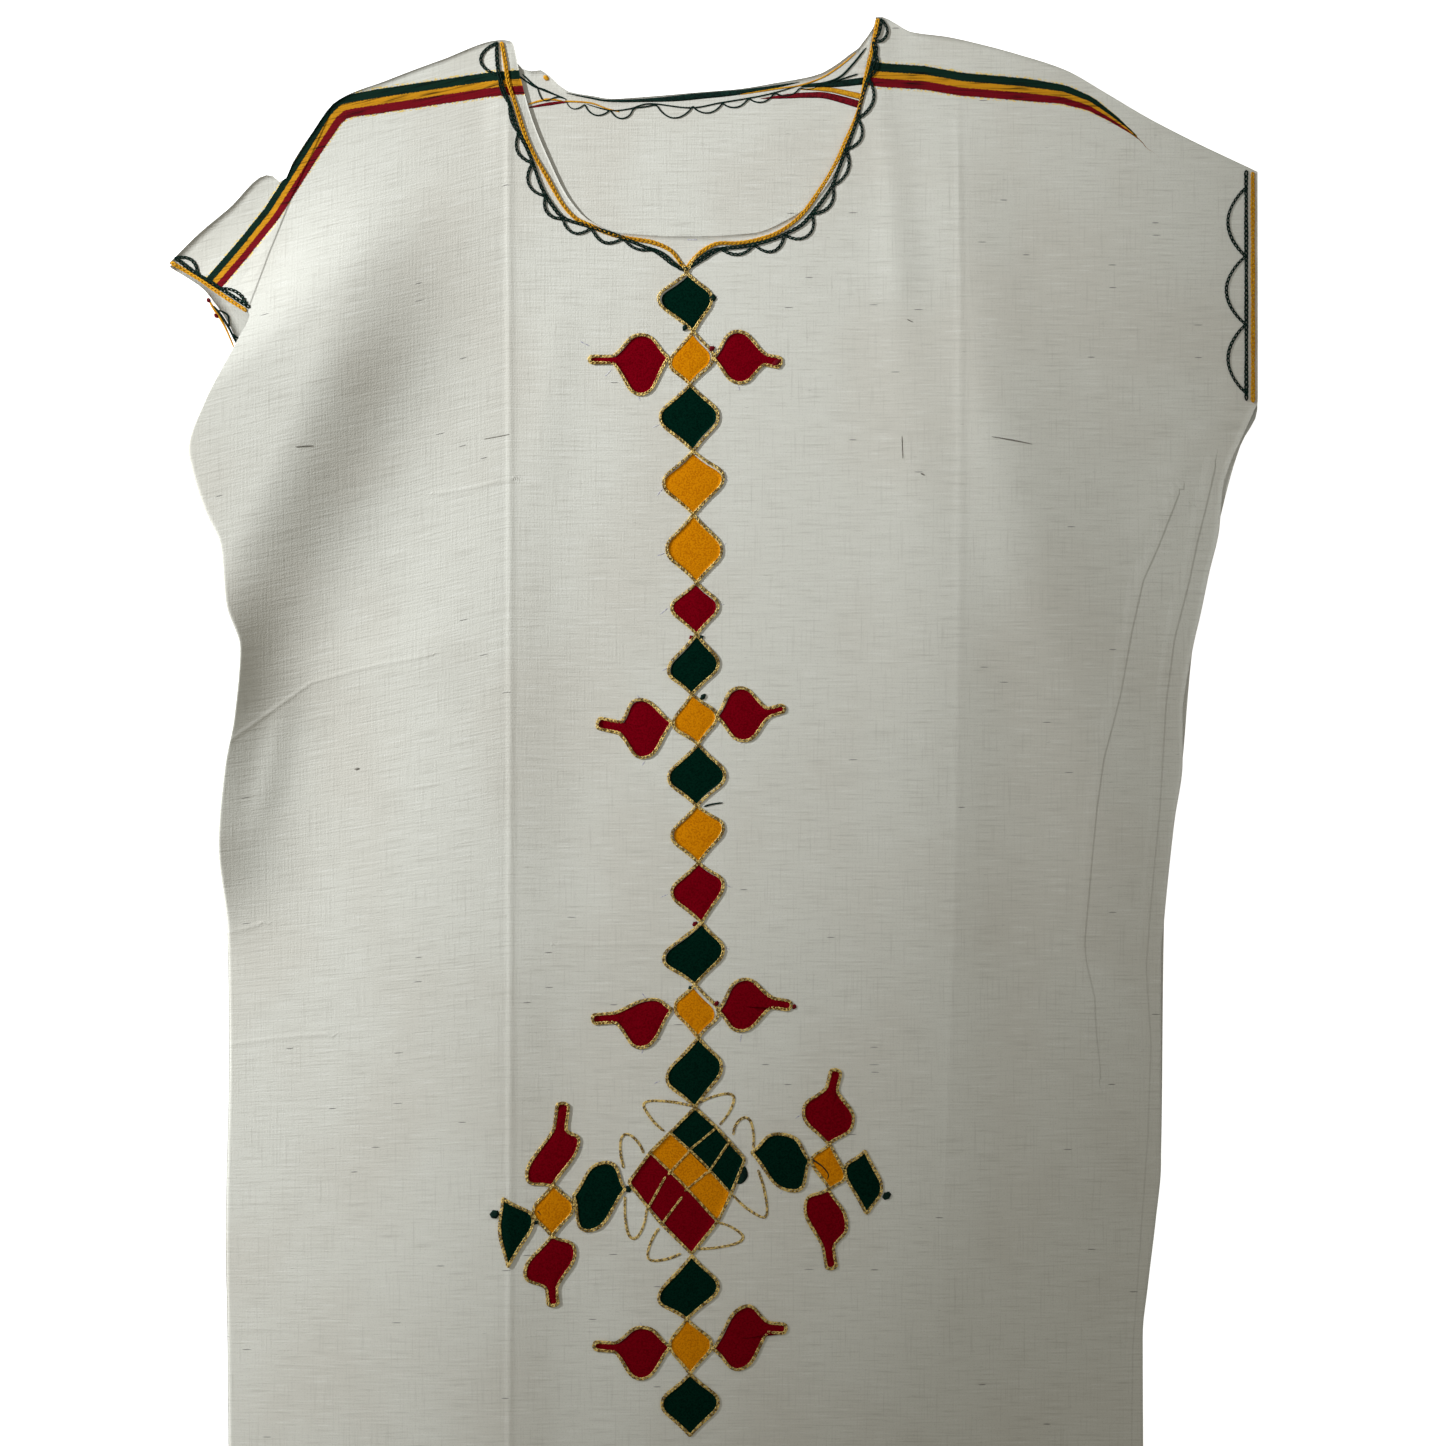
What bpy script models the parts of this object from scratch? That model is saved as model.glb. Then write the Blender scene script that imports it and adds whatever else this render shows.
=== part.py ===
"""A habesha kemis, the hand-woven cotton dress, laid flat on its back.

Every place on the dress is given as a dressmaker would measure it, in
millimetres: how far across from the centre front, to the wearer's left as
positive, and how far down from the high point of the shoulder. The dress lies
on the ground plane with its hem towards -Y and its front facing +Z.
"""
import math

import bmesh
import bpy
import numpy as np
from mathutils import Vector
from mathutils.bvhtree import BVHTree

MM = 0.001

# Driving sizes
LENGTH = 1286.0
SLEEVE_RIGHT = -313.0
SLEEVE_LEFT = 341.0
HEM_HALF = 281.0
WALL = 1.4
SEAM_GAP = 0.3
LOFT = 2.4
CENTRE_ACROSS = (SLEEVE_RIGHT + SLEEVE_LEFT) / 2
CENTRE_DOWN = LENGTH / 2

# Weave grid of the two panels: widest gap between columns and between rows, as
# a share of the width and of the length, and the closest that two may lie
FRONT_MESH = {"column": 0.042, "row": 0.034, "closest": 0.0065}
BACK_MESH = {"column": 0.060, "row": 0.075, "closest": 0.0110}

# How far in from a side edge its bends are felt, as a share of the width
EDGE_REACH = 0.30
# Width over which a seamed edge rises from the back panel
SEAM_RISE = 16.0
# Depths down at which the side seams start, and the length that they close in
UNDERARM_RIGHT = 185.0
UNDERARM_LEFT = 236.0
UNDERARM_EASE = 20.0
# Half width of the neck, beside which the shoulder seams start, and their ease
NECK_HALF = 112.0
NECK_EASE = 14.0
# Flat allowance outside the stitched seam of the wearer's left side
FLANGE = 9.0

# Shoulder line and neck edge of the front: across, down
FRONT_TOP = (
    (SLEEVE_RIGHT, 148), (-296, 131), (-277, 115), (-253, 95), (-245, 100),
    (-239, 88), (-228, 71), (-213, 51), (-182, 38), (-150, 26), (-112, 14),
    (-106, 15), (-102, 36), (-96, 58), (-86, 83), (-73, 109), (-61, 122),
    (-41, 130), (0, 132), (38, 130), (60, 121), (74, 111), (90, 89), (100, 57),
    (105, 35), (113, 0), (133, 9), (173, 16), (226, 32), (247, 44),
    (299, 73), (SLEEVE_LEFT, 93),
)

# The same for the back, whose neck is cut far shallower
BACK_TOP = (
    (SLEEVE_RIGHT, 150), (-277, 119), (-253, 99), (-245, 103), (-226, 73),
    (-211, 54), (-182, 41), (-150, 29), (-112, 17), (-104, 22), (-96, 34),
    (-75, 41), (-54, 50), (-24, 52), (30, 49), (66, 42), (90, 31), (103, 18),
    (113, 3), (133, 12), (173, 19), (226, 35), (299, 76),
    (SLEEVE_LEFT, 96),
)

# Wearer's right edge, from the sleeve's corner to the hem: down, across
FRONT_RIGHT_EDGE = (
    (148, SLEEVE_RIGHT), (180, -263), (197, -270), (214, -279), (235, -290),
    (264, -300), (299, -290), (319, -281), (355, -277), (381, -269),
    (422, -273), (452, -279), (499, -283), (553, -278), (621, -277),
    (734, -279), (792, -278), (950, -277), (LENGTH, -HEM_HALF),
)

# Wearer's left edge, the one with the open flat seam: down, across
FRONT_LEFT_EDGE = (
    (93, SLEEVE_LEFT), (233, SLEEVE_LEFT), (254, 331), (267, 325), (308, 318),
    (334, 312), (380, 302), (420, 296), (447, 296), (484, 291), (541, 285),
    (565, 283), (689, 283), (721, 280), (763, 275), (792, 272), (950, 273),
    (LENGTH, HEM_HALF),
)

# The back's sleeve reaches lower on the wearer's right, and its body keeps
# just inside the front's roll there
BACK_RIGHT_EDGE = (
    (150, SLEEVE_RIGHT), (165, -291), (202, -272), (235, -286), (264, -297),
    (319, -278), (381, -266), (499, -280), (621, -275), (792, -276),
    (950, -275), (LENGTH - 2, -HEM_HALF + 2),
)
BACK_LEFT_EDGE = (
    (96, SLEEVE_LEFT), (236, SLEEVE_LEFT), (257, 331), (308, 317), (380, 302),
    (447, 296), (541, 285), (689, 283), (792, 272), (950, 273),
    (LENGTH - 2, HEM_HALF - 2),
)

# The largest folds of the front, each a soft ridge that runs down the cloth:
# name, then the crest's place across at its top, middle and foot, the depth
# down at which it starts and ends, its spread towards the wearer's right and
# left, and its height
FOLDS = (
    ("drape below the right shoulder", -206, -236, -286, 48, 305, 20, 46, 13.0),
    ("foot of that drape", -286, -240, -214, 270, 640, 22, 60, 6.0),
    ("right front crease", -123, -108, -112, 60, 1400, 62, 24, 3.6),
    ("left front crease", 158, 152, 122, 50, 1400, 48, 18, 4.2),
    ("left pleat beside it", 232, 240, 226, 236, 860, 34, 48, 4.6),
    ("left shoulder ray", 214, 252, 286, 60, 330, 20, 34, 3.4),
    ("left underarm fall", 300, 292, 268, 255, 560, 26, 14, 3.0),
    ("right skirt fold", -214, -196, -204, 640, 1400, 46, 40, 5.0),
    ("left skirt fold", 214, 206, 190, 820, 1400, 44, 40, 5.4),
    ("inner skirt fold", 30, 36, 44, 900, 1400, 46, 40, 3.4),
)
FOLD_FADE = 70.0

# Embroidered lozenges, each sewn on as one raised field of thread. The gap
# under a field, its thickness at the rim and how much its middle stands up
MOTIF_GAP = 0.35
MOTIF_RIM = 0.7
MOTIF_DOME = 0.6
# The inner ring of a field: its size beside the outline, its share of the dome
MOTIF_INNER = 0.55
MOTIF_SHOULDER = 0.8
LOZENGE = (33.0, 34.0)
SMALL_LOZENGE = (25.0, 30.0)
CHAIN = (
    ("green", 170), ("yellow", 206), ("green", 242), ("yellow", 280),
    ("yellow", 320), ("red", 355), ("green", 389), ("yellow", 424),
    ("green", 458), ("yellow", 492), ("red", 526), ("green", 563),
    ("yellow", 599), ("green", 634), ("green", 763), ("yellow", 798),
    ("green", 833),
)
# The chain drifts a little to the wearer's left and back: down, across
CHAIN_LINE = ((170, -1), (320, 2), (458, 5), (526, 5), (634, 2), (763, 0))
CROSSES = (206, 424, 599, 798)
LEAF = (36.0, 32.0)
LEAF_TAIL = 13.0
LEAF_OFFSET = 31.5

# The great lozenge of the hem cross: its four corners, across and down
MEDALLION = {"top": (2, 655), "left": (35, 687), "foot": (0, 741), "right": (-36, 698)}
MEDALLION_BANDS = (("green", 0.00, 0.32), ("yellow", 0.34, 0.66), ("red", 0.68, 1.00))

# The two arms of the hem cross, each a small cross on the end of a lozenge:
# side, colour, across, down, width, height, turn in degrees, tail
ARMS = (
    ("left", "green", 55, 688, 37, 33, 0, 0),
    ("left", "yellow", 84, 690, 20, 26, 0, 0),
    ("left", "red", 83, 657, 31, 32, -90, 14),
    ("left", "red", 82, 723, 31, 32, 90, 14),
    ("left", "green", 106, 699, 24, 35, 15, 6),
    ("right", "green", -54, 709, 35, 38, 180, 0),
    ("right", "yellow", -82, 717, 20, 26, 180, 0),
    ("right", "red", -83, 681, 31, 32, -80, 16),
    ("right", "red", -84, 750, 31, 32, 88, 12),
    ("right", "green", -105, 729, 22, 40, 175, 6),
)

# Edges that turn by more degrees than this are shaded sharp
SHARP_ANGLE = 40.0

COLOURS = {
    "cotton": ((0.58, 0.56, 0.51), 0.92),
    "green": ((0.004, 0.030, 0.020), 0.85),
    "yellow": ((0.62, 0.22, 0.010), 0.85),
    "red": ((0.190, 0.004, 0.012), 0.85),
}


def place(across, down, height):
    """World points in metres from arrays of dressmaker's measures."""
    x = (np.asarray(across, float) - CENTRE_ACROSS) * MM
    y = (CENTRE_DOWN - np.asarray(down, float)) * MM
    z = np.asarray(height, float) * MM
    return np.stack(np.broadcast_arrays(x, y, z), axis=-1).reshape(-1, 3)


def smooth(value):
    """Ease from 0 to 1 while the value goes from 0 to 1."""
    v = np.clip(value, 0.0, 1.0)
    return v * v * (3.0 - 2.0 * v)


def cloth_material(name):
    """A matt thread or cloth of one of the dress's colours."""
    material = bpy.data.materials.get(name)
    if material is None:
        colour, roughness = COLOURS[name]
        material = bpy.data.materials.new(name)
        material.use_nodes = True
        shader = material.node_tree.nodes["Principled BSDF"]
        shader.inputs["Base Color"].default_value = (*colour, 1.0)
        shader.inputs["Roughness"].default_value = roughness
        shader.inputs["Metallic"].default_value = 0.0
    return material


def stations(marks, widest, closest):
    """Shares from 0 to 1 that pass each mark and leave no wide stretch."""
    kept = [0.0]
    for mark in sorted(marks):
        if mark - kept[-1] >= closest and 1.0 - mark >= closest:
            kept.append(mark)
    kept.append(1.0)
    shares = []
    for start, end in zip(kept[:-1], kept[1:]):
        pieces = max(1, math.ceil((end - start) / widest))
        shares.extend(start + (end - start) * i / pieces for i in range(pieces))
    return np.array(shares + [1.0])


def panel_grid(top, right_edge, left_edge, mesh):
    """Across and down of each grid point of a panel, and both shares.

    A point s of the way across and t of the way down lies on the straight line
    between the two edges, t of the way from the top line to the hem. The bends
    of a side edge shift the points near it and die away towards the middle.
    """
    top = np.array(top, float)
    right, left = np.array(right_edge, float), np.array(left_edge, float)
    first, last = top[0, 0], top[-1, 0]
    hem = right[-1, 0]
    marks_s = (top[:, 0] - first) / (last - first)
    marks_t = [(edge[:, 0] - edge[0, 0]) / (hem - edge[0, 0]) for edge in (right, left)]
    s = stations(marks_s, mesh["column"], mesh["closest"])
    t = stations(np.concatenate(marks_t), mesh["row"], mesh["closest"])
    s, t = np.meshgrid(s, t)
    down = (1 - t) * np.interp(first + s * (last - first), top[:, 0], top[:, 1]) + t * hem
    straight_right = first + t * (right[-1, 1] - first)
    straight_left = last + t * (left[-1, 1] - last)
    bend_right = np.interp(right[0, 0] + t * (hem - right[0, 0]), *right.T) - straight_right
    bend_left = np.interp(left[0, 0] + t * (hem - left[0, 0]), *left.T) - straight_left
    near_right = np.clip(1 - s / EDGE_REACH, 0, 1) ** 2
    near_left = np.clip(1 - (1 - s) / EDGE_REACH, 0, 1) ** 2
    across = (1 - s) * straight_right + s * straight_left
    return across + near_right * bend_right + near_left * bend_left, down, s, t


def fold_height(across, down):
    """Height that the front's folds add: one smooth ridge for each row."""
    height = np.zeros_like(across)
    for _, top, middle, foot, start, end, right_spread, left_spread, crest in FOLDS:
        q = np.clip((down - start) / (end - start), 0, 1)
        line = (1 - q) * (1 - 2 * q) * top + 4 * q * (1 - q) * middle + q * (2 * q - 1) * foot
        offset = across - line
        spread = np.where(offset < 0, right_spread, left_spread)
        fade = smooth((down - start) / FOLD_FADE) * smooth((end - down) / FOLD_FADE)
        height += crest * fade * np.exp(-((offset / spread) ** 2))
    return height


def front_lay(across, down, s, t):
    """Height of the front's underside over the back panel's top.

    Seamed edges lie on the back: the shoulders, and the sides below the
    underarms. The neck, the sleeve hems and the hem stand open.
    """
    width = SLEEVE_LEFT - SLEEVE_RIGHT
    seamed_right = smooth((down - UNDERARM_RIGHT) / UNDERARM_EASE)
    seamed_left = smooth((down - UNDERARM_LEFT) / UNDERARM_EASE)
    shoulder = smooth((np.abs(across) - NECK_HALF) / NECK_EASE)
    from_right = np.clip(s * width / SEAM_RISE, 0, 1)
    from_left = np.clip(((1 - s) * width - FLANGE) / SEAM_RISE, 0, 1)
    from_top = np.clip(t * LENGTH / SEAM_RISE, 0, 1)
    rise = 1 - seamed_right * (1 - from_right) ** 2
    rise = rise * (1 - seamed_left * (1 - from_left) ** 2)
    rise = rise * (1 - shoulder * (1 - from_top) ** 2)
    return rise * (LOFT + fold_height(across, down))


def closed_solid(name, points, faces, colour):
    """An object from a closed shell, with its faces turned outwards."""
    mesh = bpy.data.meshes.new(name)
    mesh.from_pydata(points.tolist(), [], faces)
    mesh.materials.append(cloth_material(colour))
    shape = bmesh.new()
    shape.from_mesh(mesh)
    bmesh.ops.recalc_face_normals(shape, faces=shape.faces)
    bmesh.ops.triangulate(shape, faces=shape.faces)
    shape.to_mesh(mesh)
    shape.free()
    mesh.shade_smooth()
    mesh.set_sharp_from_angle(angle=math.radians(SHARP_ANGLE))
    solid = bpy.data.objects.new(name, mesh)
    bpy.context.collection.objects.link(solid)
    return solid


def panel_solid(name, across, down, under, over):
    """A closed wall of cloth between two heights over one grid."""
    rows, columns = across.shape
    count = rows * columns
    points = np.concatenate([place(across, down, under), place(across, down, over)])
    index = np.arange(count).reshape(rows, columns)
    corners = [index[:-1, :-1], index[1:, :-1], index[1:, 1:], index[:-1, 1:]]
    quads = np.stack(corners, -1).reshape(-1, 4)
    rim = np.concatenate([index[:, 0], index[-1, 1:], index[-2::-1, -1], index[0, -2:0:-1]])
    ahead = np.roll(rim, -1)
    walls = np.stack([rim, rim + count, ahead + count, ahead], -1)
    faces = np.concatenate([quads[:, ::-1], quads + count, walls]).tolist()
    return closed_solid(name, points, faces, "cotton")


def back_panel():
    """The back length with its half of both cap sleeves, flat on the ground."""
    across, down, _, _ = panel_grid(BACK_TOP, BACK_RIGHT_EDGE, BACK_LEFT_EDGE, BACK_MESH)
    return panel_solid("back_panel", across, down, np.zeros_like(across), np.full_like(across, WALL))


def front_panel():
    """The front length, lying in its folds on the back."""
    across, down, s, t = panel_grid(FRONT_TOP, FRONT_RIGHT_EDGE, FRONT_LEFT_EDGE, FRONT_MESH)
    under = WALL + SEAM_GAP + front_lay(across, down, s, t)
    return panel_solid("front_panel", across, down, under, under + WALL)


def lozenge_outline(width, height, tail):
    """A lozenge with rounded sides and drawn-out tips, one tip as a tail.

    The tips lie along the first axis. The half height swells from a tip to the
    middle as a sine raised to a power above one, so the tips draw in to a
    point and the sides stay round. The tail stretches the far tip outwards.
    """
    share = np.array([0.0, 0.16, 0.32, 0.5, 0.68, 0.84, 1.0])
    along = (share - 0.5) * width + tail * np.clip(share - 0.5, 0, 1) ** 2 * 4
    half = np.sin(np.pi * share) ** 1.25 * height / 2
    upper = np.stack([along, half], -1)
    lower = np.stack([along[-2:0:-1], -half[-2:0:-1]], -1)
    return np.concatenate([upper, lower])


def turned(outline, across, down, degrees):
    """An outline turned on the cloth and moved to its place."""
    c, s = math.cos(math.radians(degrees)), math.sin(math.radians(degrees))
    x = outline[:, 0] * c - outline[:, 1] * s
    y = outline[:, 0] * s + outline[:, 1] * c
    return np.stack([across + x, down + y], -1)


def height_on(panel_tree, outline):
    """Height of the front panel's outer face at each point, in millimetres."""
    heights = []
    for x, y, _ in place(outline[:, 0], outline[:, 1], 0.0):
        hit = panel_tree.ray_cast(Vector((x, y, 1.0)), Vector((0, 0, -1)))[0]
        heights.append(hit.z / MM)
    return np.array(heights)


def motif(name, colour, outline, panel_tree):
    """One raised field of thread, made from the front panel's own points.

    The outline, a smaller ring of it and its middle lie just over the cloth.
    The same points moved further out make the low rim and the domed top.
    """
    middle = outline.mean(axis=0)
    inner = middle + (outline - middle) * MOTIF_INNER
    count = len(outline)
    places = np.concatenate([outline, inner, middle[None]])
    base = height_on(panel_tree, places) + MOTIF_GAP
    dome = [0.0] * count + [MOTIF_SHOULDER] * count + [1.0]
    rise = MOTIF_RIM + MOTIF_DOME * np.array(dome)
    points = np.concatenate([
        place(places[:, 0], places[:, 1], base),
        place(places[:, 0], places[:, 1], base + rise),
    ])
    layer = 2 * count + 1
    faces = []
    for i in range(count):
        j = (i + 1) % count
        for lift in (0, layer):
            faces.append((i + lift, j + lift, count + j + lift, count + i + lift))
            faces.append((count + i + lift, count + j + lift, 2 * count + lift))
        faces.append((i, i + layer, j + layer, j))
    return closed_solid(name, points, faces, colour)


def chain_across(down):
    """Where the chain's line runs at a depth down the front."""
    line = np.array(CHAIN_LINE, float)
    return float(np.interp(down, line[:, 0], line[:, 1]))


def centre_chain(panel_tree):
    """The column of lozenges down the centre front."""
    for number, (colour, down) in enumerate(CHAIN, start=1):
        width, height = SMALL_LOZENGE if down in CROSSES else LOZENGE
        outline = lozenge_outline(height, width, 0.0)
        outline = turned(outline, chain_across(down), down, 90)
        motif(f"chain_{number:02d}_{colour}", colour, outline, panel_tree)


def cross_leaves(panel_tree):
    """The pair of red leaves at each cross of the chain."""
    for number, down in enumerate(CROSSES, start=1):
        for side, sign in (("right", -1), ("left", 1)):
            outline = lozenge_outline(LEAF[0], LEAF[1], LEAF_TAIL)
            across = chain_across(down) + sign * LEAF_OFFSET
            outline = turned(outline, across, down, 0 if sign > 0 else 180)
            motif(f"leaf_{number}_{side}", "red", outline, panel_tree)


def medallion(panel_tree):
    """The great lozenge in three slanting bands of colour."""
    top, left, foot, right = (np.array(MEDALLION[k], float) for k in ("top", "left", "foot", "right"))
    for colour, start, end in MEDALLION_BANDS:
        outer = [top + (right - top) * start, top + (right - top) * end]
        inner = [left + (foot - left) * end, left + (foot - left) * start]
        corners = np.array(outer + inner)
        ahead = np.roll(corners, -1, axis=0)
        outline = np.stack([corners, corners * 2 / 3 + ahead / 3, corners / 3 + ahead * 2 / 3], 1)
        motif(f"medallion_{colour}", colour, outline.reshape(-1, 2), panel_tree)


def hem_cross_arms(panel_tree):
    """The small crosses at both ends of the hem cross."""
    for number, (side, colour, across, down, width, height, turn, tail) in enumerate(ARMS, start=1):
        outline = lozenge_outline(width, height, tail)
        outline = turned(outline, across, down, turn)
        motif(f"arm_{number:02d}_{side}_{colour}", colour, outline, panel_tree)


for old in list(bpy.data.objects):
    bpy.data.objects.remove(old, do_unlink=True)

back_panel()
front = front_panel()
front_tree = BVHTree.FromObject(front, bpy.context.evaluated_depsgraph_get())
centre_chain(front_tree)
cross_leaves(front_tree)
medallion(front_tree)
hem_cross_arms(front_tree)
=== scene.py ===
"""The looks of a habesha kemis, a hand-woven cotton dress, laid flat on its back.

Places on the dress are a dressmaker's measures in millimetres: across from the
centre front, positive towards the wearer's left, and down from the high point
of the shoulder.
"""
import math

import bpy
import numpy as np
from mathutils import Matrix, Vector


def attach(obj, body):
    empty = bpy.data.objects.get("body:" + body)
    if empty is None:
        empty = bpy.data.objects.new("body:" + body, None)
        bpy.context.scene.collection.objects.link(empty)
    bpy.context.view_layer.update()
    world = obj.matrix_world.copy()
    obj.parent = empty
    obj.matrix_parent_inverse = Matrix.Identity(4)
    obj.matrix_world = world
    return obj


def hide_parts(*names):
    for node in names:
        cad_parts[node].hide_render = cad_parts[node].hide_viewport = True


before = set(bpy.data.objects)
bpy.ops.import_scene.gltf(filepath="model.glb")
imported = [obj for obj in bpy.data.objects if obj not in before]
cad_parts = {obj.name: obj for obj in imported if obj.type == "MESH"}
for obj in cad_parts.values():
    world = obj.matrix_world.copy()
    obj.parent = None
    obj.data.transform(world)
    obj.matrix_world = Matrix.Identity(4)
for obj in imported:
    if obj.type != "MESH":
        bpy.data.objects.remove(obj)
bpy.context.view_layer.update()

# The camera looks straight down on the dress, as the photo does. The picture is
# 1445 by 1446 pixels, and at the cloth one pixel is 0.60 mm.
MM = 0.001
PICTURE_WIDE = 1445
PICTURE_HIGH = 1446
PIXEL = 0.60
CAMERA_HEIGHT = 2.10
CLOTH_HEIGHT = 0.005
SENSOR = 36.0
CENTRE_FRONT_PX = 690
SHOULDER_PX = 16

LENGTH = 1286.0
SLEEVE_RIGHT = -313.0
SLEEVE_LEFT = 341.0
CENTRE_ACROSS = (SLEEVE_RIGHT + SLEEVE_LEFT) / 2
CENTRE_DOWN = LENGTH / 2


def laid(across, down, height):
    """Points on the table in metres, as one row of x, y and z for each.

    x is the measure across less that of the sleeves' middle, y is half the
    length less the measure down, and z is the height over the table.
    """
    x = (np.asarray(across, float) - CENTRE_ACROSS) * MM
    y = (CENTRE_DOWN - np.asarray(down, float)) * MM
    z = np.asarray(height, float) * MM
    return np.stack(np.broadcast_arrays(x, y, z), axis=-1).reshape(-1, 3)


view_across = (PICTURE_WIDE / 2 - CENTRE_FRONT_PX) * PIXEL
view_down = (PICTURE_HIGH / 2 - SHOULDER_PX) * PIXEL
lens = bpy.data.cameras.new("camera")
lens.sensor_width = SENSOR
lens.lens = SENSOR * (CAMERA_HEIGHT - CLOTH_HEIGHT) / (PICTURE_HIGH * PIXEL * MM)
camera = bpy.data.objects.new("camera", lens)
camera.location = laid(view_across, view_down, CAMERA_HEIGHT / MM)[0]
bpy.context.collection.objects.link(camera)
bpy.context.scene.camera = camera

# The floor is a plain white sweep. The light comes as in the photo: a low lamp
# beyond the wearer's right shoulder, whose beam fades across the left of the
# skirt, a weak broad lamp over the left shoulder, and an even warm sky.
FLOOR_SIZE = 12.0
FLOOR_COLOUR = (0.90, 0.90, 0.90, 1.0)
FLOOR_GLOW = 0.86
FLOOR_GRAIN = 900.0
FLOOR_RELIEF = 0.03
SKY_COLOUR = (1.0, 0.975, 0.86, 1.0)
SKY_STRENGTH = 0.27
LAMP_COLOUR = (0.93, 0.965, 1.0)
# The beam fades out beside this place on the dress. Its lamp stands away from
# there along the heading, by the reach, and is aimed back by the shorter reach
BEAM_EDGE = (60.0, 450.0)
BEAM_HEADING = (-0.905, -0.425)
BEAM_REACH = 5393.0
BEAM_HEIGHT = 2630.0
BEAM_AIM_REACH = 705.0
BEAM_ANGLE = 98.83
BEAM_BLEND = 0.019
BEAM_POWER = 1980.0
BEAM_SIZE = 0.12
BROAD_PLACE = (330.0, 260.0, 620.0)
BROAD_POWER = 0.70
BROAD_SIZE = 0.7
bpy.context.scene.view_settings.view_transform = "Standard"


def shader_material(name, colour, roughness):
    """A material with a plain Principled shader, and the shader itself."""
    material = bpy.data.materials.new(name)
    material.use_nodes = True
    shader = material.node_tree.nodes["Principled BSDF"]
    shader.inputs["Base Color"].default_value = colour
    shader.inputs["Roughness"].default_value = roughness
    shader.inputs["Specular IOR Level"].default_value = 0.25
    return material, shader


def object_noise(tree, scale, detail=2.0):
    """Noise in the piece's own place, with a given number of grains a metre."""
    coordinates = tree.nodes.new("ShaderNodeTexCoord")
    noise = tree.nodes.new("ShaderNodeTexNoise")
    noise.inputs["Scale"].default_value = scale
    noise.inputs["Detail"].default_value = detail
    tree.links.new(coordinates.outputs["Object"], noise.inputs["Vector"])
    return noise.outputs["Fac"]


def add_relief(tree, shader, height, strength, distance=0.001):
    """Fine relief on a shader, from a height that counts in units of distance."""
    bump = tree.nodes.new("ShaderNodeBump")
    bump.inputs["Strength"].default_value = strength
    bump.inputs["Distance"].default_value = distance
    tree.links.new(height, bump.inputs["Height"])
    tree.links.new(bump.outputs["Normal"], shader.inputs["Normal"])


def place_lamp(name, light, start, aim):
    """A lamp at a place over the dress, turned to another."""
    lamp = bpy.data.objects.new(name, light)
    lamp.location = Vector(laid(*start)[0])
    heading = Vector(laid(*aim)[0]) - lamp.location
    lamp.rotation_euler = heading.to_track_quat("-Z", "Y").to_euler()
    bpy.context.collection.objects.link(lamp)


def studio_lamps():
    """The beam with its soft edge, and a weak broad lamp over the left shoulder."""
    heading_across, heading_down = BEAM_HEADING
    across = BEAM_EDGE[0] + BEAM_REACH * heading_across
    down = BEAM_EDGE[1] + BEAM_REACH * heading_down
    aim = (across - BEAM_AIM_REACH * heading_across, down - BEAM_AIM_REACH * heading_down, 0)
    beam = bpy.data.lights.new("beam", "SPOT")
    beam.energy = BEAM_POWER
    beam.spot_size = math.radians(BEAM_ANGLE)
    beam.spot_blend = BEAM_BLEND
    beam.shadow_soft_size = BEAM_SIZE
    beam.color = LAMP_COLOUR
    place_lamp("beam", beam, (across, down, BEAM_HEIGHT), aim)
    broad = bpy.data.lights.new("broad", "AREA")
    broad.size = BROAD_SIZE
    broad.energy = BROAD_POWER
    broad.color = LAMP_COLOUR
    place_lamp("broad", broad, BROAD_PLACE, (*BROAD_PLACE[:2], 0))


def paper_floor():
    """A square of pale paper at height 0."""
    half = FLOOR_SIZE / 2
    mesh = bpy.data.meshes.new("floor")
    corners = [(-half, -half, 0), (half, -half, 0), (half, half, 0), (-half, half, 0)]
    mesh.from_pydata(corners, [], [(0, 1, 2, 3)])
    material, shader = shader_material("pale paper", FLOOR_COLOUR, 0.9)
    shader.inputs["Emission Color"].default_value = FLOOR_COLOUR
    shader.inputs["Emission Strength"].default_value = FLOOR_GLOW
    tree = material.node_tree
    add_relief(tree, shader, object_noise(tree, FLOOR_GRAIN), FLOOR_RELIEF)
    mesh.materials.append(material)
    floor = bpy.data.objects.new("floor", mesh)
    bpy.context.collection.objects.link(floor)


paper_floor()
studio_lamps()
world = bpy.data.worlds.new("studio")
world.use_nodes = True
sky = world.node_tree.nodes["Background"]
sky.inputs["Color"].default_value = SKY_COLOUR
sky.inputs["Strength"].default_value = SKY_STRENGTH
bpy.context.scene.world = world

# The back panel is one length of hand-woven cotton with its half of both cap
# sleeves cut in one. It lies flat under the front, and shows inside the neck.
BACK_FACE = 1.3
BACK_COLUMNS = 120
BACK_ROWS = 150
BACK_WEAVE_SHIFT = 37.0
# The share of the width in which a side edge's bends die away
EDGE_REACH = 0.30

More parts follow.
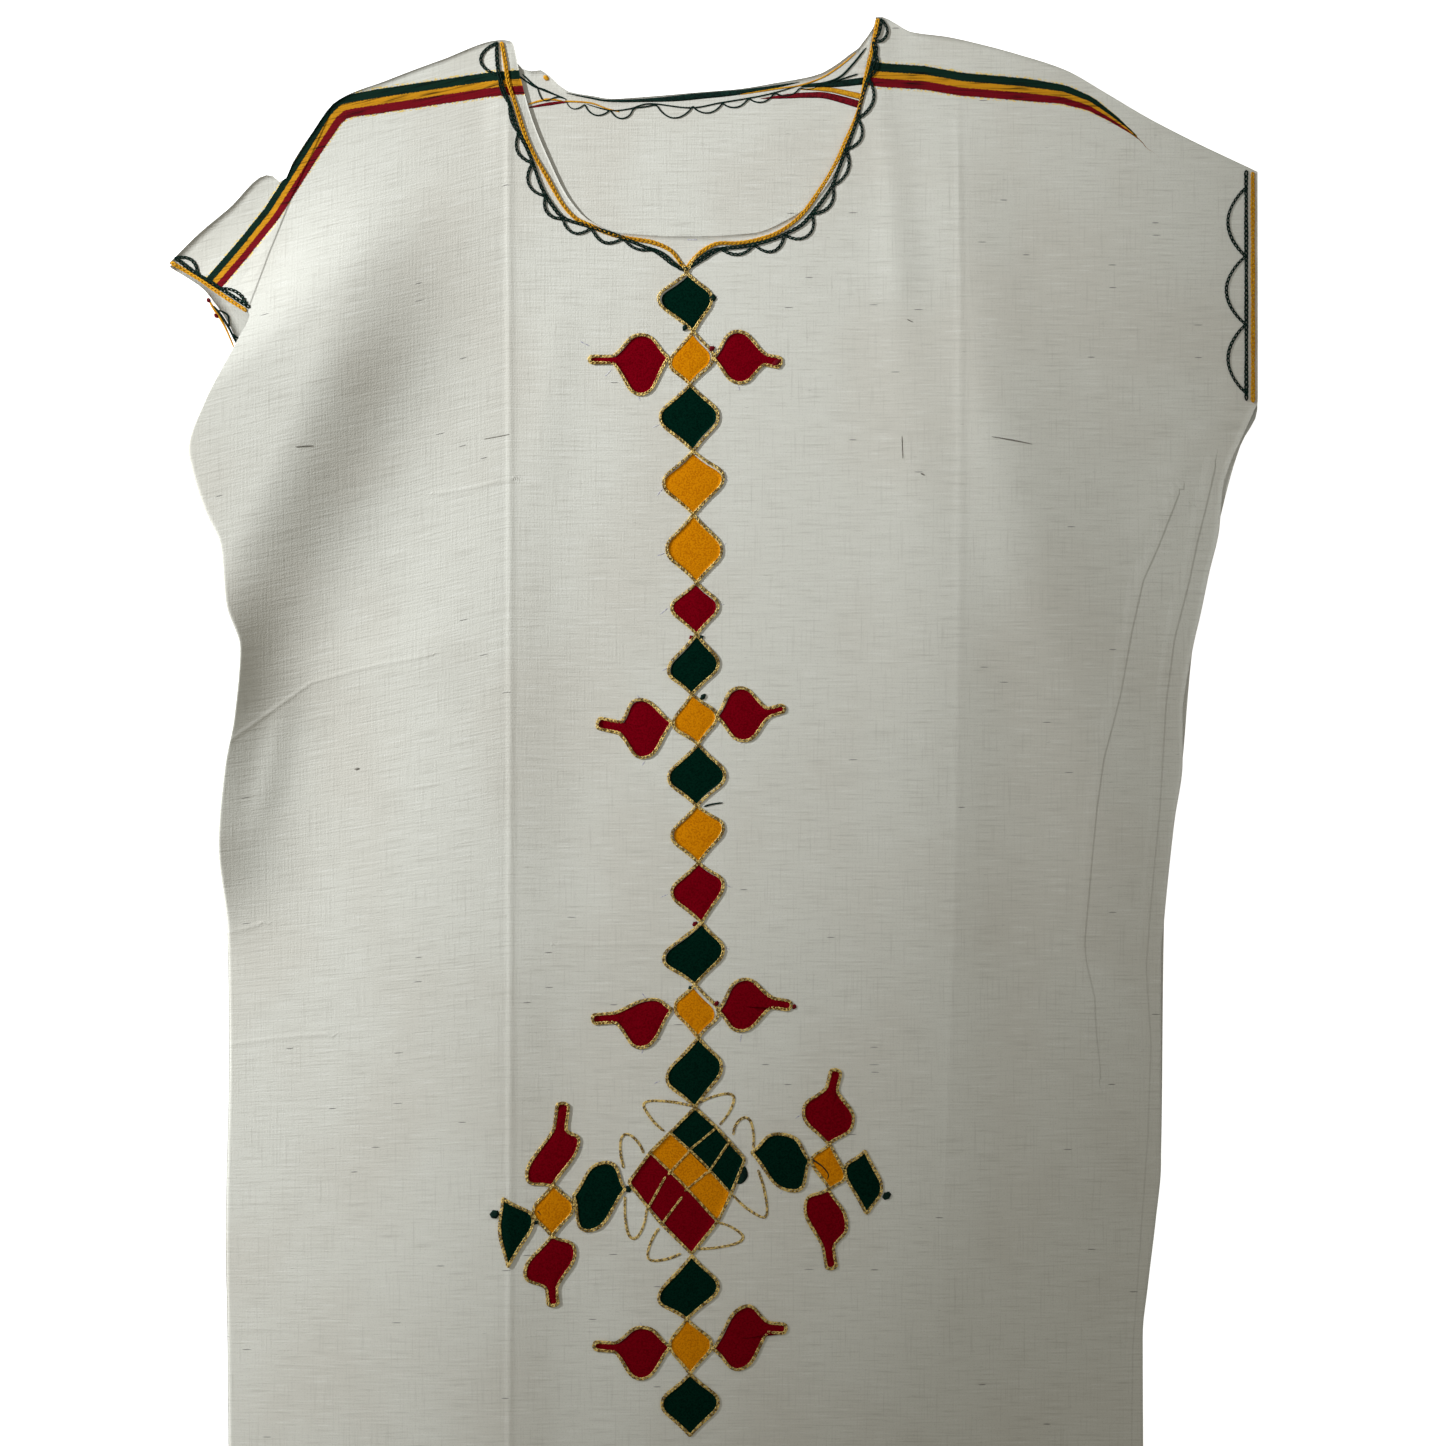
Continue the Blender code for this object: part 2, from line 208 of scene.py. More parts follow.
# Outline of the back: across and down along the top, and down and across
# along both sides
BACK_TOP = (
    (SLEEVE_RIGHT, 150), (-277, 119), (-254, 99), (-252, 99), (-245, 102),
    (-226, 73), (-211, 54), (-182, 41), (-150, 29), (-113, 17), (-110, 19),
    (-104, 28), (-97, 33), (-92, 31), (-86, 34), (-80, 40), (-72, 45),
    (-60, 47), (-47, 49), (-30, 48), (6, 45), (30, 43), (54, 39), (66, 37),
    (78, 34), (87, 29), (95, 23), (104, 16), (112, 3), (114, 3), (133, 12),
    (173, 19), (226, 35), (299, 76), (SLEEVE_LEFT, 96),
)
BACK_RIGHT_EDGE = (
    (150, SLEEVE_RIGHT), (165, -291), (202, -272), (235, -286), (264, -297),
    (319, -278), (381, -266), (499, -280), (621, -275), (792, -276),
    (950, -275), (LENGTH - 2, -279),
)
BACK_LEFT_EDGE = (
    (96, SLEEVE_LEFT), (235, SLEEVE_LEFT), (236, SLEEVE_LEFT), (257, 331),
    (308, 317), (380, 302), (447, 296), (541, 285), (689, 283), (792, 272),
    (950, 273), (LENGTH - 2, 279),
)
# The turn of the back's hem
BACK_TUCKS = (((-278, 1273), (0, 1274), (278, 1273)),)


def through(table, at):
    """A smooth line through a table of places and values, read at given places.

    Between two rows runs a cubic. Its slope at a row is the harmonic mean of
    the straight slopes on both sides, or 0 where the line turns, so that it
    never swings past the rows.
    """
    x, y = np.array(table, float).T
    at = np.clip(at, x[0], x[-1])
    h = np.diff(x)
    slope = np.diff(y) / h
    before, after = slope[:-1], slope[1:]
    turns = before * after <= 0
    safe_before = np.where(turns, 1.0, before)
    safe_after = np.where(turns, 1.0, after)
    w1, w2 = 2 * h[1:] + h[:-1], h[1:] + 2 * h[:-1]
    inner = np.where(turns, 0.0, (w1 + w2) / (w1 / safe_before + w2 / safe_after))
    m = np.concatenate([slope[:1], inner, slope[-1:]])
    i = np.clip(np.searchsorted(x, at, side="right") - 1, 0, len(h) - 1)
    q = (at - x[i]) / h[i]
    return (
        (1 + 2 * q) * (1 - q) ** 2 * y[i] + q * (1 - q) ** 2 * h[i] * m[i]
        + q**2 * (3 - 2 * q) * y[i + 1] + q**2 * (q - 1) * h[i] * m[i + 1]
    )


def smooth(value):
    """Ease from 0 to 1 while the value goes from 0 to 1."""
    v = np.clip(value, 0.0, 1.0)
    return v * v * (3.0 - 2.0 * v)


def spaced(count, places=(), closeness=0.0, reach=0.02):
    """count + 1 shares from 0 to 1 that lie closer together near some places.

    They are equal steps of the running sum of a density, which is 1 with a
    bell of the given closeness and reach at each place.
    """
    u = np.linspace(0, 1, 4001)
    density = np.ones_like(u)
    for place in places:
        density += closeness * np.exp(-(((u - place) / reach) ** 2))
    total = np.concatenate([[0.0], np.cumsum((density[1:] + density[:-1]) / 2)])
    return np.interp(np.linspace(0, total[-1], count + 1), total, u)


def panel_across(s, t, top, right_edge, left_edge):
    """Measure across at the shares s over the panel and t down it.

    A straight line joins the shoulder line's place to the hem's. The bends of
    each side edge are added, and die away with the square of the distance.
    """
    first, last = top[0][0], top[-1][0]
    hem = right_edge[-1][0]
    from_right = right_edge[0][0] + t * (hem - right_edge[0][0])
    from_left = left_edge[0][0] + t * (hem - left_edge[0][0])
    straight_right = first + t * (right_edge[-1][1] - first)
    straight_left = last + t * (left_edge[-1][1] - last)
    bend_right = through(right_edge, from_right) - straight_right
    bend_left = through(left_edge, from_left) - straight_left
    near_right = np.clip(1 - s / EDGE_REACH, 0, 1) ** 2
    near_left = np.clip(1 - (1 - s) / EDGE_REACH, 0, 1) ** 2
    across = (1 - s) * straight_right + s * straight_left
    return across + near_right * bend_right + near_left * bend_left


def panel_down(s, t, top, hem):
    """Measure down at the shares s and t: straight from the top line to the hem."""
    first, last = top[0][0], top[-1][0]
    return (1 - t) * through(top, first + s * (last - first)) + t * hem


def add_piece(name, points, faces, material):
    """A piece of one material, from its points in metres and its faces."""
    mesh = bpy.data.meshes.new(name)
    mesh.from_pydata(points.tolist(), [], faces)
    mesh.materials.append(material)
    mesh.shade_smooth()
    piece = bpy.data.objects.new(name, mesh)
    bpy.context.collection.objects.link(piece)
    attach(piece, "root")
    return piece


def closed_sheet(name, across, down, under, over, values):
    """A thin closed shell over a grid of places, with values at its points.

    The grid is laid twice, at the heights under and over, and a strip joins
    both round the rim. Each value is written as an attribute of the points.
    """
    rows, columns = across.shape
    count = rows * columns
    index = np.arange(count).reshape(rows, columns)
    corners = [index[:-1, :-1], index[1:, :-1], index[1:, 1:], index[:-1, 1:]]
    quads = np.stack(corners, -1).reshape(-1, 4)
    rim = np.concatenate([index[:, 0], index[-1, 1:], index[-2::-1, -1], index[0, -2:0:-1]])
    ahead = np.roll(rim, -1)
    walls = np.stack([rim, ahead, ahead + count, rim + count], -1)[:, ::-1]
    faces = np.concatenate([quads[:, ::-1], quads + count, walls])
    points = np.concatenate([laid(across, down, under), laid(across, down, over)])
    sheet = add_piece(name, points, faces.tolist(), cotton)
    for key, value in values.items():
        flat = np.concatenate([value.reshape(-1), value.reshape(-1)]).astype(np.float32)
        attribute = sheet.data.attributes.new(key, "FLOAT", "POINT")
        attribute.data.foreach_set("value", flat)
    return sheet


def read_value(nodes, key):
    """The socket that gives an attribute of the cloth's points."""
    attribute = nodes.new("ShaderNodeAttribute")
    attribute.attribute_name = key
    return attribute.outputs["Fac"]


def work_out(tree, operation, first, second=0):
    """The socket of a sum on two sockets or numbers."""
    node = tree.nodes.new("ShaderNodeMath")
    node.operation = operation
    for socket, value in zip(node.inputs, (first, second)):
        if hasattr(value, "default_value"):
            tree.links.new(value, socket)
        else:
            socket.default_value = value
    return node.outputs[0]


def thread_noise(tree, weft, warp, weft_length, warp_length, detail):
    """Noise drawn out along the threads: its grain's size each way is in mm."""
    place = tree.nodes.new("ShaderNodeCombineXYZ")
    tree.links.new(work_out(tree, "DIVIDE", weft, weft_length), place.inputs["X"])
    tree.links.new(work_out(tree, "DIVIDE", warp, warp_length), place.inputs["Y"])
    noise = tree.nodes.new("ShaderNodeTexNoise")
    noise.noise_dimensions = "2D"
    noise.inputs["Scale"].default_value = 1.0
    noise.inputs["Detail"].default_value = detail
    tree.links.new(place.outputs["Vector"], noise.inputs["Vector"])
    return noise.outputs["Fac"]


def step(tree, value, low, high):
    """0 below low, 1 above high, and a smooth rise between."""
    ramp = tree.nodes.new("ShaderNodeMapRange")
    ramp.interpolation_type = "SMOOTHSTEP"
    ramp.inputs["From Min"].default_value = low
    ramp.inputs["From Max"].default_value = high
    tree.links.new(value, ramp.inputs["Value"])
    return ramp.outputs["Result"]


def blend(tree, share, first, second):
    """A colour between two, each a socket or a colour, by a share."""
    mix = tree.nodes.new("ShaderNodeMix")
    mix.data_type = "RGBA"
    tree.links.new(share, mix.inputs["Factor"])
    for socket, value in ((mix.inputs[6], first), (mix.inputs[7], second)):
        if hasattr(value, "default_value"):
            tree.links.new(value, socket)
        else:
            socket.default_value = (*value, 1.0)
    return mix.outputs[2]


# Colours of the cloth, and half the woven band's width
COTTON = (0.700, 0.692, 0.630)
COTTON_DULL = (0.660, 0.640, 0.575)
THREAD_SHADE = (0.520, 0.505, 0.450)
THREAD_LIGHT = (0.780, 0.772, 0.720)
SLUB_DARK = (0.300, 0.290, 0.270)
BAND_GREEN = (0.0012, 0.019, 0.011)
BAND_YELLOW = (0.600, 0.265, 0.008)
BAND_RED = (0.175, 0.001, 0.007)
LUREX = (0.86, 0.64, 0.20)
BAND_HALF = 7.4


def handwoven_cotton():
    """Off-white plain weave with slubs, the woven band and its lurex edges.

    Weft and warp are the cloth's own measures in mm. Band is the distance from
    the woven band's middle line, positive towards the shoulder. Ridge and tuck
    are the distances from the nearest pressed line and the nearest turned edge.
    """
    material, shader = shader_material("handwoven cotton", (*COTTON, 1.0), 0.92)
    tree = material.node_tree
    nodes, links = tree.nodes, tree.links
    weft, warp = read_value(nodes, "weft"), read_value(nodes, "warp")
    band = read_value(nodes, "band")
    ridge, tuck = read_value(nodes, "ridge"), read_value(nodes, "tuck")

    clouds = thread_noise(tree, weft, warp, 90.0, 120.0, 2.0)
    colour = blend(tree, step(tree, clouds, 0.36, 0.70), COTTON, COTTON_DULL)
    picks = thread_noise(tree, weft, warp, 21.0, 1.15, 3.0)
    colour = blend(tree, step(tree, picks, 0.50, 1.00), colour, THREAD_SHADE)
    colour = blend(tree, step(tree, picks, 0.48, 0.05), colour, THREAD_LIGHT)
    ends = thread_noise(tree, weft, warp, 1.1, 30.0, 2.0)
    colour = blend(tree, step(tree, ends, 0.52, 1.15), colour, THREAD_SHADE)
    shed = thread_noise(tree, weft, warp, 1.0, 0.9, 2.0)
    colour = blend(tree, step(tree, shed, 0.50, 1.10), colour, THREAD_SHADE)
    streaks = thread_noise(tree, weft, warp, 70.0, 4.0, 1.0)
    colour = blend(tree, step(tree, streaks, 0.55, 1.60), colour, THREAD_SHADE)
    slubs = thread_noise(tree, weft, warp, 13.0, 1.5, 0.0)
    slub_share = step(tree, slubs, 0.91, 0.97)
    colour = blend(tree, slub_share, colour, SLUB_DARK)

    fray = thread_noise(tree, weft, warp, 0.9, 0.9, 1.0)
    loose = work_out(tree, "ADD", band, work_out(tree, "SUBTRACT", fray, 0.5))
    distance = work_out(tree, "ABSOLUTE", band)
    inside = step(tree, work_out(tree, "ABSOLUTE", loose), BAND_HALF + 0.2, BAND_HALF - 0.2)
    threads = blend(tree, step(tree, loose, -2.2, -1.8), BAND_RED, BAND_YELLOW)
    threads = blend(tree, step(tree, loose, 1.8, 2.2), threads, BAND_GREEN)
    threads = blend(tree, step(tree, picks, 0.45, 0.85), threads, (0.0, 0.0, 0.0))
    colour = blend(tree, inside, colour, threads)
    sparks = thread_noise(tree, weft, warp, 2.2, 1.3, 2.0)
    in_line = work_out(
        tree, "MULTIPLY", step(tree, distance, BAND_HALF - 0.3, BAND_HALF + 0.1),
        step(tree, distance, BAND_HALF + 1.5, BAND_HALF + 0.9),
    )
    gold = work_out(tree, "MULTIPLY", in_line, step(tree, sparks, 0.50, 0.56))
    colour = blend(tree, gold, colour, LUREX)
    links.new(colour, shader.inputs["Base Color"])
    shine = work_out(tree, "MULTIPLY", gold, 0.3)
    links.new(shine, shader.inputs["Metallic"])
    gloss = tree.nodes.new("ShaderNodeMapRange")
    gloss.inputs["To Min"].default_value = 0.92
    gloss.inputs["To Max"].default_value = 0.40
    links.new(gold, gloss.inputs["Value"])
    links.new(gloss.outputs["Result"], shader.inputs["Roughness"])
    shader.inputs["Specular IOR Level"].default_value = 0.15

    relief = work_out(tree, "MULTIPLY", picks, 0.17)
    raised = ((ends, 0.09), (shed, 0.12), (streaks, 0.12), (slub_share, 0.15), (inside, 0.30))
    for pattern, height in raised:
        relief = work_out(tree, "ADD", relief, work_out(tree, "MULTIPLY", pattern, height))
    pressed = work_out(tree, "MULTIPLY", work_out(tree, "MULTIPLY", ridge, ridge), -0.55)
    pressed = work_out(tree, "EXPONENT", pressed)
    pressed = work_out(tree, "MULTIPLY", pressed, read_value(nodes, "ridge_near"))
    relief = work_out(tree, "ADD", relief, work_out(tree, "MULTIPLY", pressed, 0.22))
    turned_edge = step(tree, tuck, -0.7, 0.7)
    turned_edge = work_out(tree, "MULTIPLY", turned_edge, read_value(nodes, "tuck_near"))
    relief = work_out(tree, "ADD", relief, work_out(tree, "MULTIPLY", turned_edge, 0.60))
    add_relief(tree, shader, relief, 0.9)
    return material


cotton = handwoven_cotton()


def beside_path(across, down, path):
    """Signed distance of each point from a path, and its measure along it.

    The nearest of the path's straight stretches counts. The distance is
    positive on the left of someone who walks the path, seen from above.
    """
    best = np.full(across.shape, np.inf)
    signed, along = np.zeros(across.shape), np.zeros(across.shape)
    run = 0.0
    for (a0, d0), (a1, d1) in zip(path[:-1], path[1:]):
        length = math.hypot(a1 - a0, d1 - d0)
        ua, ud = (a1 - a0) / length, (d1 - d0) / length
        ra, rd = across - a0, down - d0
        q = np.clip(ra * ua + rd * ud, 0, length)
        distance = np.hypot(ra - q * ua, rd - q * ud)
        closer = distance < best
        side = np.where(ra * ud - rd * ua >= 0, 1.0, -1.0)
        best = np.where(closer, distance, best)
        signed = np.where(closer, side * distance, signed)
        along = np.where(closer, run + q, along)
        run += length
    return signed, along


LINE_FAR = 40.0
LINE_NEAR = 4.0


def line_values(name, across, down, lines):
    """Signed distance from the nearest of several lines, and how near it is.

    The second value is 1 within 4 mm and 0 from 8 mm on, and keeps what is
    drawn on a line from where the nearest line changes.
    """
    nearest = np.full(across.shape, LINE_FAR)
    for line in lines:
        signed, _ = beside_path(across, down, line)
        nearest = np.where(np.abs(signed) < np.abs(nearest), signed, nearest)
    near = 1 - smooth((np.abs(nearest) - LINE_NEAR) / LINE_NEAR)
    return {name: nearest, name + "_near": near}


def back_panel():
    """The back length: the grid of its cut, flat on the table."""
    rows = spaced(BACK_ROWS, places=(0.0,), closeness=1.5, reach=0.15)
    s, t = np.meshgrid(spaced(BACK_COLUMNS), rows)
    across = panel_across(s, t, BACK_TOP, BACK_RIGHT_EDGE, BACK_LEFT_EDGE)
    down = panel_down(s, t, BACK_TOP, BACK_RIGHT_EDGE[-1][0])
    under, over = np.zeros_like(across), np.full_like(across, BACK_FACE)
    no_band = np.full_like(across, 10 * BAND_HALF)
    values = {"weft": across + BACK_WEAVE_SHIFT, "warp": down, "band": no_band}
    values.update(line_values("ridge", across, down, ()))
    values.update(line_values("tuck", across, down, BACK_TUCKS))
    panel = closed_sheet("back_cloth", across, down, under, over, values)
    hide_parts("back_panel")
    return panel


back = back_panel()

# The front panel is the second length, with a deep round neck. It lies on the
# back in the folds that the photo shows, sewn to it at shoulders and sides.
FRONT_COLUMNS = 200
FRONT_ROWS = 250
CLOTH = 0.8
# Clear of the back's face at a seam, and away from it
SEAM_GAP = 0.2
LOFT = 1.0
# The widths over which it rises from the right side, the left side behind its
# turned edge, the shoulders and the neck, and how far the neck is pressed
EDGE_ROLL = 2.6
LEFT_RISE = 85.0
FLANGE = 6.0
TOP_RISE = 105.0
NECK_RISE = 25.0
NECK_PRESS = 0.4
# Where the side seams start below the sleeves, and the neck's half width
UNDERARM_RIGHT = 185.0
UNDERARM_LEFT = 236.0
UNDERARM_EASE = 20.0
NECK_HALF = 112.0
NECK_EASE = 14.0
# How far the weft sags at the drape: its slope, and the depths it fades between
WEFT_SLOPE = 0.25
WEFT_SLOPE_FROM = -110.0
WEFT_FADE = (300.0, 800.0)

# Outline of the front, in the same way as the back's
FRONT_TOP = (
    (SLEEVE_RIGHT, 148), (-296, 131), (-277, 115), (-254, 95), (-252, 95),
    (-245, 100), (-239, 88), (-228, 71), (-213, 51), (-182, 38), (-150, 26),
    (-113, 14), (-107, 15), (-102, 36), (-96, 58), (-86, 83), (-73, 109),
    (-61, 122), (-41, 130), (0, 132), (38, 130), (60, 121), (74, 111),
    (90, 89), (100, 57), (105, 35), (112, 0), (114, 0), (133, 9), (155, 12),
    (173, 16), (199, 23), (226, 32), (247, 44), (274, 60), (299, 73),
    (SLEEVE_LEFT, 93),
)
FRONT_RIGHT_EDGE = (
    (148, SLEEVE_RIGHT), (179, -264), (180, -263), (181, -263), (197, -270),
    (214, -279), (235, -290), (264, -300), (274, -298), (299, -290),
    (319, -281), (355, -277), (381, -269), (422, -273), (452, -279),
    (499, -283), (553, -278), (621, -277), (734, -279), (792, -278),
    (950, -277), (LENGTH, -281),
)
FRONT_LEFT_EDGE = (
    (93, SLEEVE_LEFT), (232, SLEEVE_LEFT), (234, 340), (254, 331), (267, 325),
    (284, 320), (308, 318), (334, 312), (358, 307), (380, 302), (420, 296),
    (447, 296), (484, 291), (541, 285), (565, 283), (650, 283), (689, 283),
    (721, 280), (763, 275), (792, 272), (950, 273), (LENGTH, 281),
)

# The shoulders without their small dents, which the cloth rises from
SHOULDER_LINE = (
    (SLEEVE_RIGHT, 146), (-256, 102), (-190, 44), (-113, 14), (0, 4), (113, 2),
    (190, 20), (256, 52), (SLEEVE_LEFT, 92),
)
# name, crest's place across at its top, middle and foot, depths down at which
# it starts and ends, how far it fades at both ends, spread towards the
# wearer's right and left, and height
FOLDS = (
    ("drape below the right shoulder", -196, -270, -432, 80, 540, 140, 170, 53, 19.0),
    ("foot of the drape", -292, -298, -312, 320, 570, 80, 60, 42, 15.5),
    ("hang of the right sleeve", -330, -330, -330, 40, 340, 110, 60, 84, 6.0),
    ("slope of the right shoulder", -258, -258, -258, -120, 200, 120, 130, 95, 4.0),
    ("right front crease", -118, -116, -114, 60, 1500, 420, 100, 33, 4.8),
    ("its pressed line", -109.5, -108, -112, 45, 1290, 25, 1.7, 2.6, 0.45),
    ("ray beside the neck", 116, 128, 142, 80, 330, 60, 16, 22, 0.9),
    ("left shoulder ray", 150, 180, 206, 40, 420, 90, 20, 30, 2.6),
    ("fall below the left shoulder", 165, 176, 186, 110, 500, 130, 60, 80, 4.6),
    ("left front crease", 154, 152, 124, 150, 1400, 260, 46, 28, 3.4),
    ("its pressed line", 161, 155, 119, 40, 1290, 25, 2.8, 1.5, 0.40),
    ("left pleat beside the crease", 176, 236, 290, 180, 640, 130, 30, 50, 5.0),
    ("left underarm fall", 300, 292, 268, 255, 560, 70, 26, 16, 1.6),
    ("crumple at the right waist", -240, -250, -262, 396, 500, 40, 7, 9, 0.8),
    ("pull from the left underarm", 318, 290, 262, 232, 330, 30, 9, 14, 1.2),
    ("rumple at the right neck", -76, -84, -92, 150, 300, 50, 10, 12, 0.5),
    ("rumple at the left neck", 118, 122, 128, 40, 190, 40, 8, 12, 1.0),
)
# The same for folds that lie across the dress: crest's depth down at its right
# end, middle and left end, and where across it starts and ends
CROSS_FOLDS = (
    ("fold across the middle", 556, 554, 546, -125, 210, 60, 46, 40, 1.7),
    ("fold at the right hip", 410, 392, 380, -290, -120, 40, 16, 22, 0.8),
    ("fold at the left hip", 700, 698, 690, 190, 300, 40, 14, 20, 0.7),
)
# Pressed lines that stand up, fine as a thread: points across and down
RIDGES = (
    ((-276, 436), (-253, 419), (-227, 400), (-186, 389), (-157, 384)),
    ((-152, 287), (-130, 283), (-107, 278)),
    ((192, 412), (240, 415), (296, 414)),
    ((-278, 550), (-268, 548), (-258, 545)),
    ((-276, 617), (-245, 613), (-217, 611)),
    ((-78, 557), (-6, 557)),
    ((141, 546), (182, 554)),
    ((225, 697), (262, 699), (281, 686)),
)
# Turned edges under the cloth, which lies higher on their left
TUCKS = (
    ((247, 637), (244, 610), (243, 589), (238, 568), (237, 556), (241, 508),
     (244, 475), (248, 446), (258, 408), (265, 370), (272, 339), (281, 319),
     (294, 286)),
    ((270, 1268), (264, 950), (266, 800), (275, 673), (277, 617), (274, 571),
     (277, 530), (282, 479), (286, 412), (291, 374), (300, 339), (305, 315),
     (311, 291), (316, 269)),
    ((-272, 1274), (0, 1275), (270, 1274)),
    ((-264, 178), (-252, 142), (-239, 108), (-226, 80), (-216, 58)),
)


def fold_height(across, down, folds):
    """Height that a table of folds adds, one smooth ridge for each row.

    The crest follows a parabola through its three places, and falls off on
    each side as a bell of that side's spread. Both ends ease out.
    """
    height = np.zeros(np.shape(across))
    for _, top, middle, foot, start, end, fade_length, right_spread, left_spread, crest in folds:
        q = np.clip((down - start) / (end - start), 0, 1)
        line = (1 - q) * (1 - 2 * q) * top + 4 * q * (1 - q) * middle + q * (2 * q - 1) * foot
        offset = across - line
        spread = np.where(offset < 0, right_spread, left_spread)
        fade = smooth((down - start) / fade_length) * smooth((end - down) / fade_length)
        height += crest * fade * np.exp(-((offset / spread) ** 2))
    return height


def front_over(across, down, s, t):
    """Height of the front's outer face over the table.

    The front lies its loft and its folds above the back, times a rise that is
    0 at the seams. From a side seam the rise grows as 1 less the square of
    what is left of its width, and from the shoulders by a smooth step. The
    step at the neck is smooth too, but starts from what its press leaves.
    """
    width = SLEEVE_LEFT - SLEEVE_RIGHT
    seamed_right = smooth((down - UNDERARM_RIGHT) / UNDERARM_EASE)
    seamed_left = smooth((down - UNDERARM_LEFT) / UNDERARM_EASE)
    shoulder = smooth((np.abs(across) - NECK_HALF) / NECK_EASE)
    from_right = np.clip(s * width / EDGE_ROLL, 0, 1)
    from_left = np.clip(((1 - s) * width - FLANGE) / LEFT_RISE, 0, 1)
    rise = 1 - seamed_right * (1 - from_right) ** 2
    rise = rise * (1 - seamed_left * (1 - from_left) ** 2)
    from_top = np.clip(down - through(SHOULDER_LINE, across), 0, None)
    rise = rise * (1 - shoulder * (1 - smooth(from_top / TOP_RISE)))
    rise = rise * (1 - NECK_PRESS * (1 - shoulder) * (1 - smooth(t * LENGTH / NECK_RISE)))
    folds = fold_height(across, down, FOLDS) + fold_height(down, across, CROSS_FOLDS)
    return BACK_FACE + SEAM_GAP + rise * (LOFT + folds) + CLOTH


CORRECTIONS = 25
CORRECTION_SHARE = 0.7


def front_shares(across, down):
    """The shares s and t of places on the front, found by repeated correction."""
    first, span = SLEEVE_RIGHT, SLEEVE_LEFT - SLEEVE_RIGHT
    s = np.clip((across - first) / span, 0, 1)
    t = np.zeros_like(s)
    for _ in range(CORRECTIONS):
        top = through(FRONT_TOP, first + s * span)
        t = np.clip((down - top) / (LENGTH - top), 0, 1)
        miss = across - panel_across(s, t, FRONT_TOP, FRONT_RIGHT_EDGE, FRONT_LEFT_EDGE)
        s = np.clip(s + CORRECTION_SHARE * miss / span, 0, 1)
    return s, t


def front_height(across, down):
    """Height of the front's outer face at places on the dress."""
    across, down = np.asarray(across, float), np.asarray(down, float)
    return front_over(across, down, *front_shares(across, down))


# Middle line of the woven band on the front, and the share of its full width
# that shows at measures along it, where it slants away into a fold
BAND_RIGHT = (
    (-300, 178), (-286, 161), (-270, 142), (-251, 118), (-234, 91),
    (-219, 67), (-214, 59), (-208, 54), (-183, 50), (-156, 46), (-123, 41),
    (-96, 39),
)
BAND_LEFT = (
    (96, 32), (114, 35), (140, 36.5), (163, 40.5), (199, 43.5), (224, 46.5),
    (240, 52), (254, 61), (266, 70), (277, 81),
)
RIGHT_SHARE = ((0, 0.80), (60, 0.74), (120, 0.74), (150, 0.90), (175, 1.0))
LEFT_SHARE = ((0, 1.0), (110, 0.92), (134, 0.74), (152, 0.50), (168, 0.26), (184, 0.04), (190, 0.01))


def band_offset(across, down):
    """Distance from the woven band's middle line, drawn wider where it tapers."""
    right, right_along = beside_path(across, down, BAND_RIGHT)
    left, left_along = beside_path(across, down, BAND_LEFT)
    right_share = np.interp(right_along, *np.array(RIGHT_SHARE, float).T)
    left_share = np.interp(left_along, *np.array(LEFT_SHARE, float).T)
    return np.where(across < 0, right / right_share, left / left_share)


def front_panel():
    """The front length, a thin shell over the grid of its cut."""
    columns = spaced(FRONT_COLUMNS, places=(0.0, 0.31, 0.72), closeness=2.6, reach=0.02)
    rows = spaced(FRONT_ROWS, places=(0.0,), closeness=1.6, reach=0.42)
    s, t = np.meshgrid(columns, rows)
    across = panel_across(s, t, FRONT_TOP, FRONT_RIGHT_EDGE, FRONT_LEFT_EDGE)
    down = panel_down(s, t, FRONT_TOP, LENGTH)
    over = front_over(across, down, s, t)
    fade_from, fade_to = WEFT_FADE
    sag = WEFT_SLOPE * np.clip(WEFT_SLOPE_FROM - across, 0, None)
    sag = sag * smooth((fade_to - down) / (fade_to - fade_from))
    values = {"weft": across, "warp": down - sag, "band": band_offset(across, down)}
    values.update(line_values("ridge", across, down, RIDGES))
    values.update(line_values("tuck", across, down, TUCKS))
    panel = closed_sheet("front_cloth", across, down, over - CLOTH, over, values)
    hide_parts("front_panel")
    return panel


front = front_panel()

# Neck and sleeve edges carry a thick line of yellow chain stitch, a line of
# green beside it and loose green scallops, all worked by hand in cotton thread.
LINK_SIDES = 4
LINK_POINTS = 8
# Half a link's length in steps, how far it narrows, how high its thread stands
# after pressing, and how far links differ
LINK_HALF = 0.68
LINK_TAPER = 0.25
LINK_HIGH = 0.30
LINK_VARIES = 0.10
YELLOW_THREAD = (0.680, 0.340, 0.014)
GREEN_THREAD = (0.0030, 0.022, 0.015)
RED_THREAD = (0.190, 0.003, 0.010)
# The gold's bright colour is painted glint on the metal thread
GOLD_THREAD_GLINT = (0.82, 0.59, 0.19)


def thread_material(name, colour, dark, roughness, metallic=0.0, grain=900.0):
    """Twisted thread: its colour breaks up with its fibre noise and its relief; on gold the breaks are
    painted glints and painted shade.
    """
    material, shader = shader_material(name, (*colour, 1.0), roughness)
    tree = material.node_tree
    fibres_and_glints = object_noise(tree, grain)
    # Light and dark by the noise: fibre colour, and on gold painted glints and painted shade
    tone = blend(tree, step(tree, fibres_and_glints, 0.42, 0.58), dark, colour)
    tree.links.new(tone, shader.inputs["Base Color"])
    add_relief(tree, shader, fibres_and_glints, 0.5, 0.0003)
    shader.inputs["Metallic"].default_value = metallic
    shader.inputs["Specular IOR Level"].default_value = 0.12
    return material


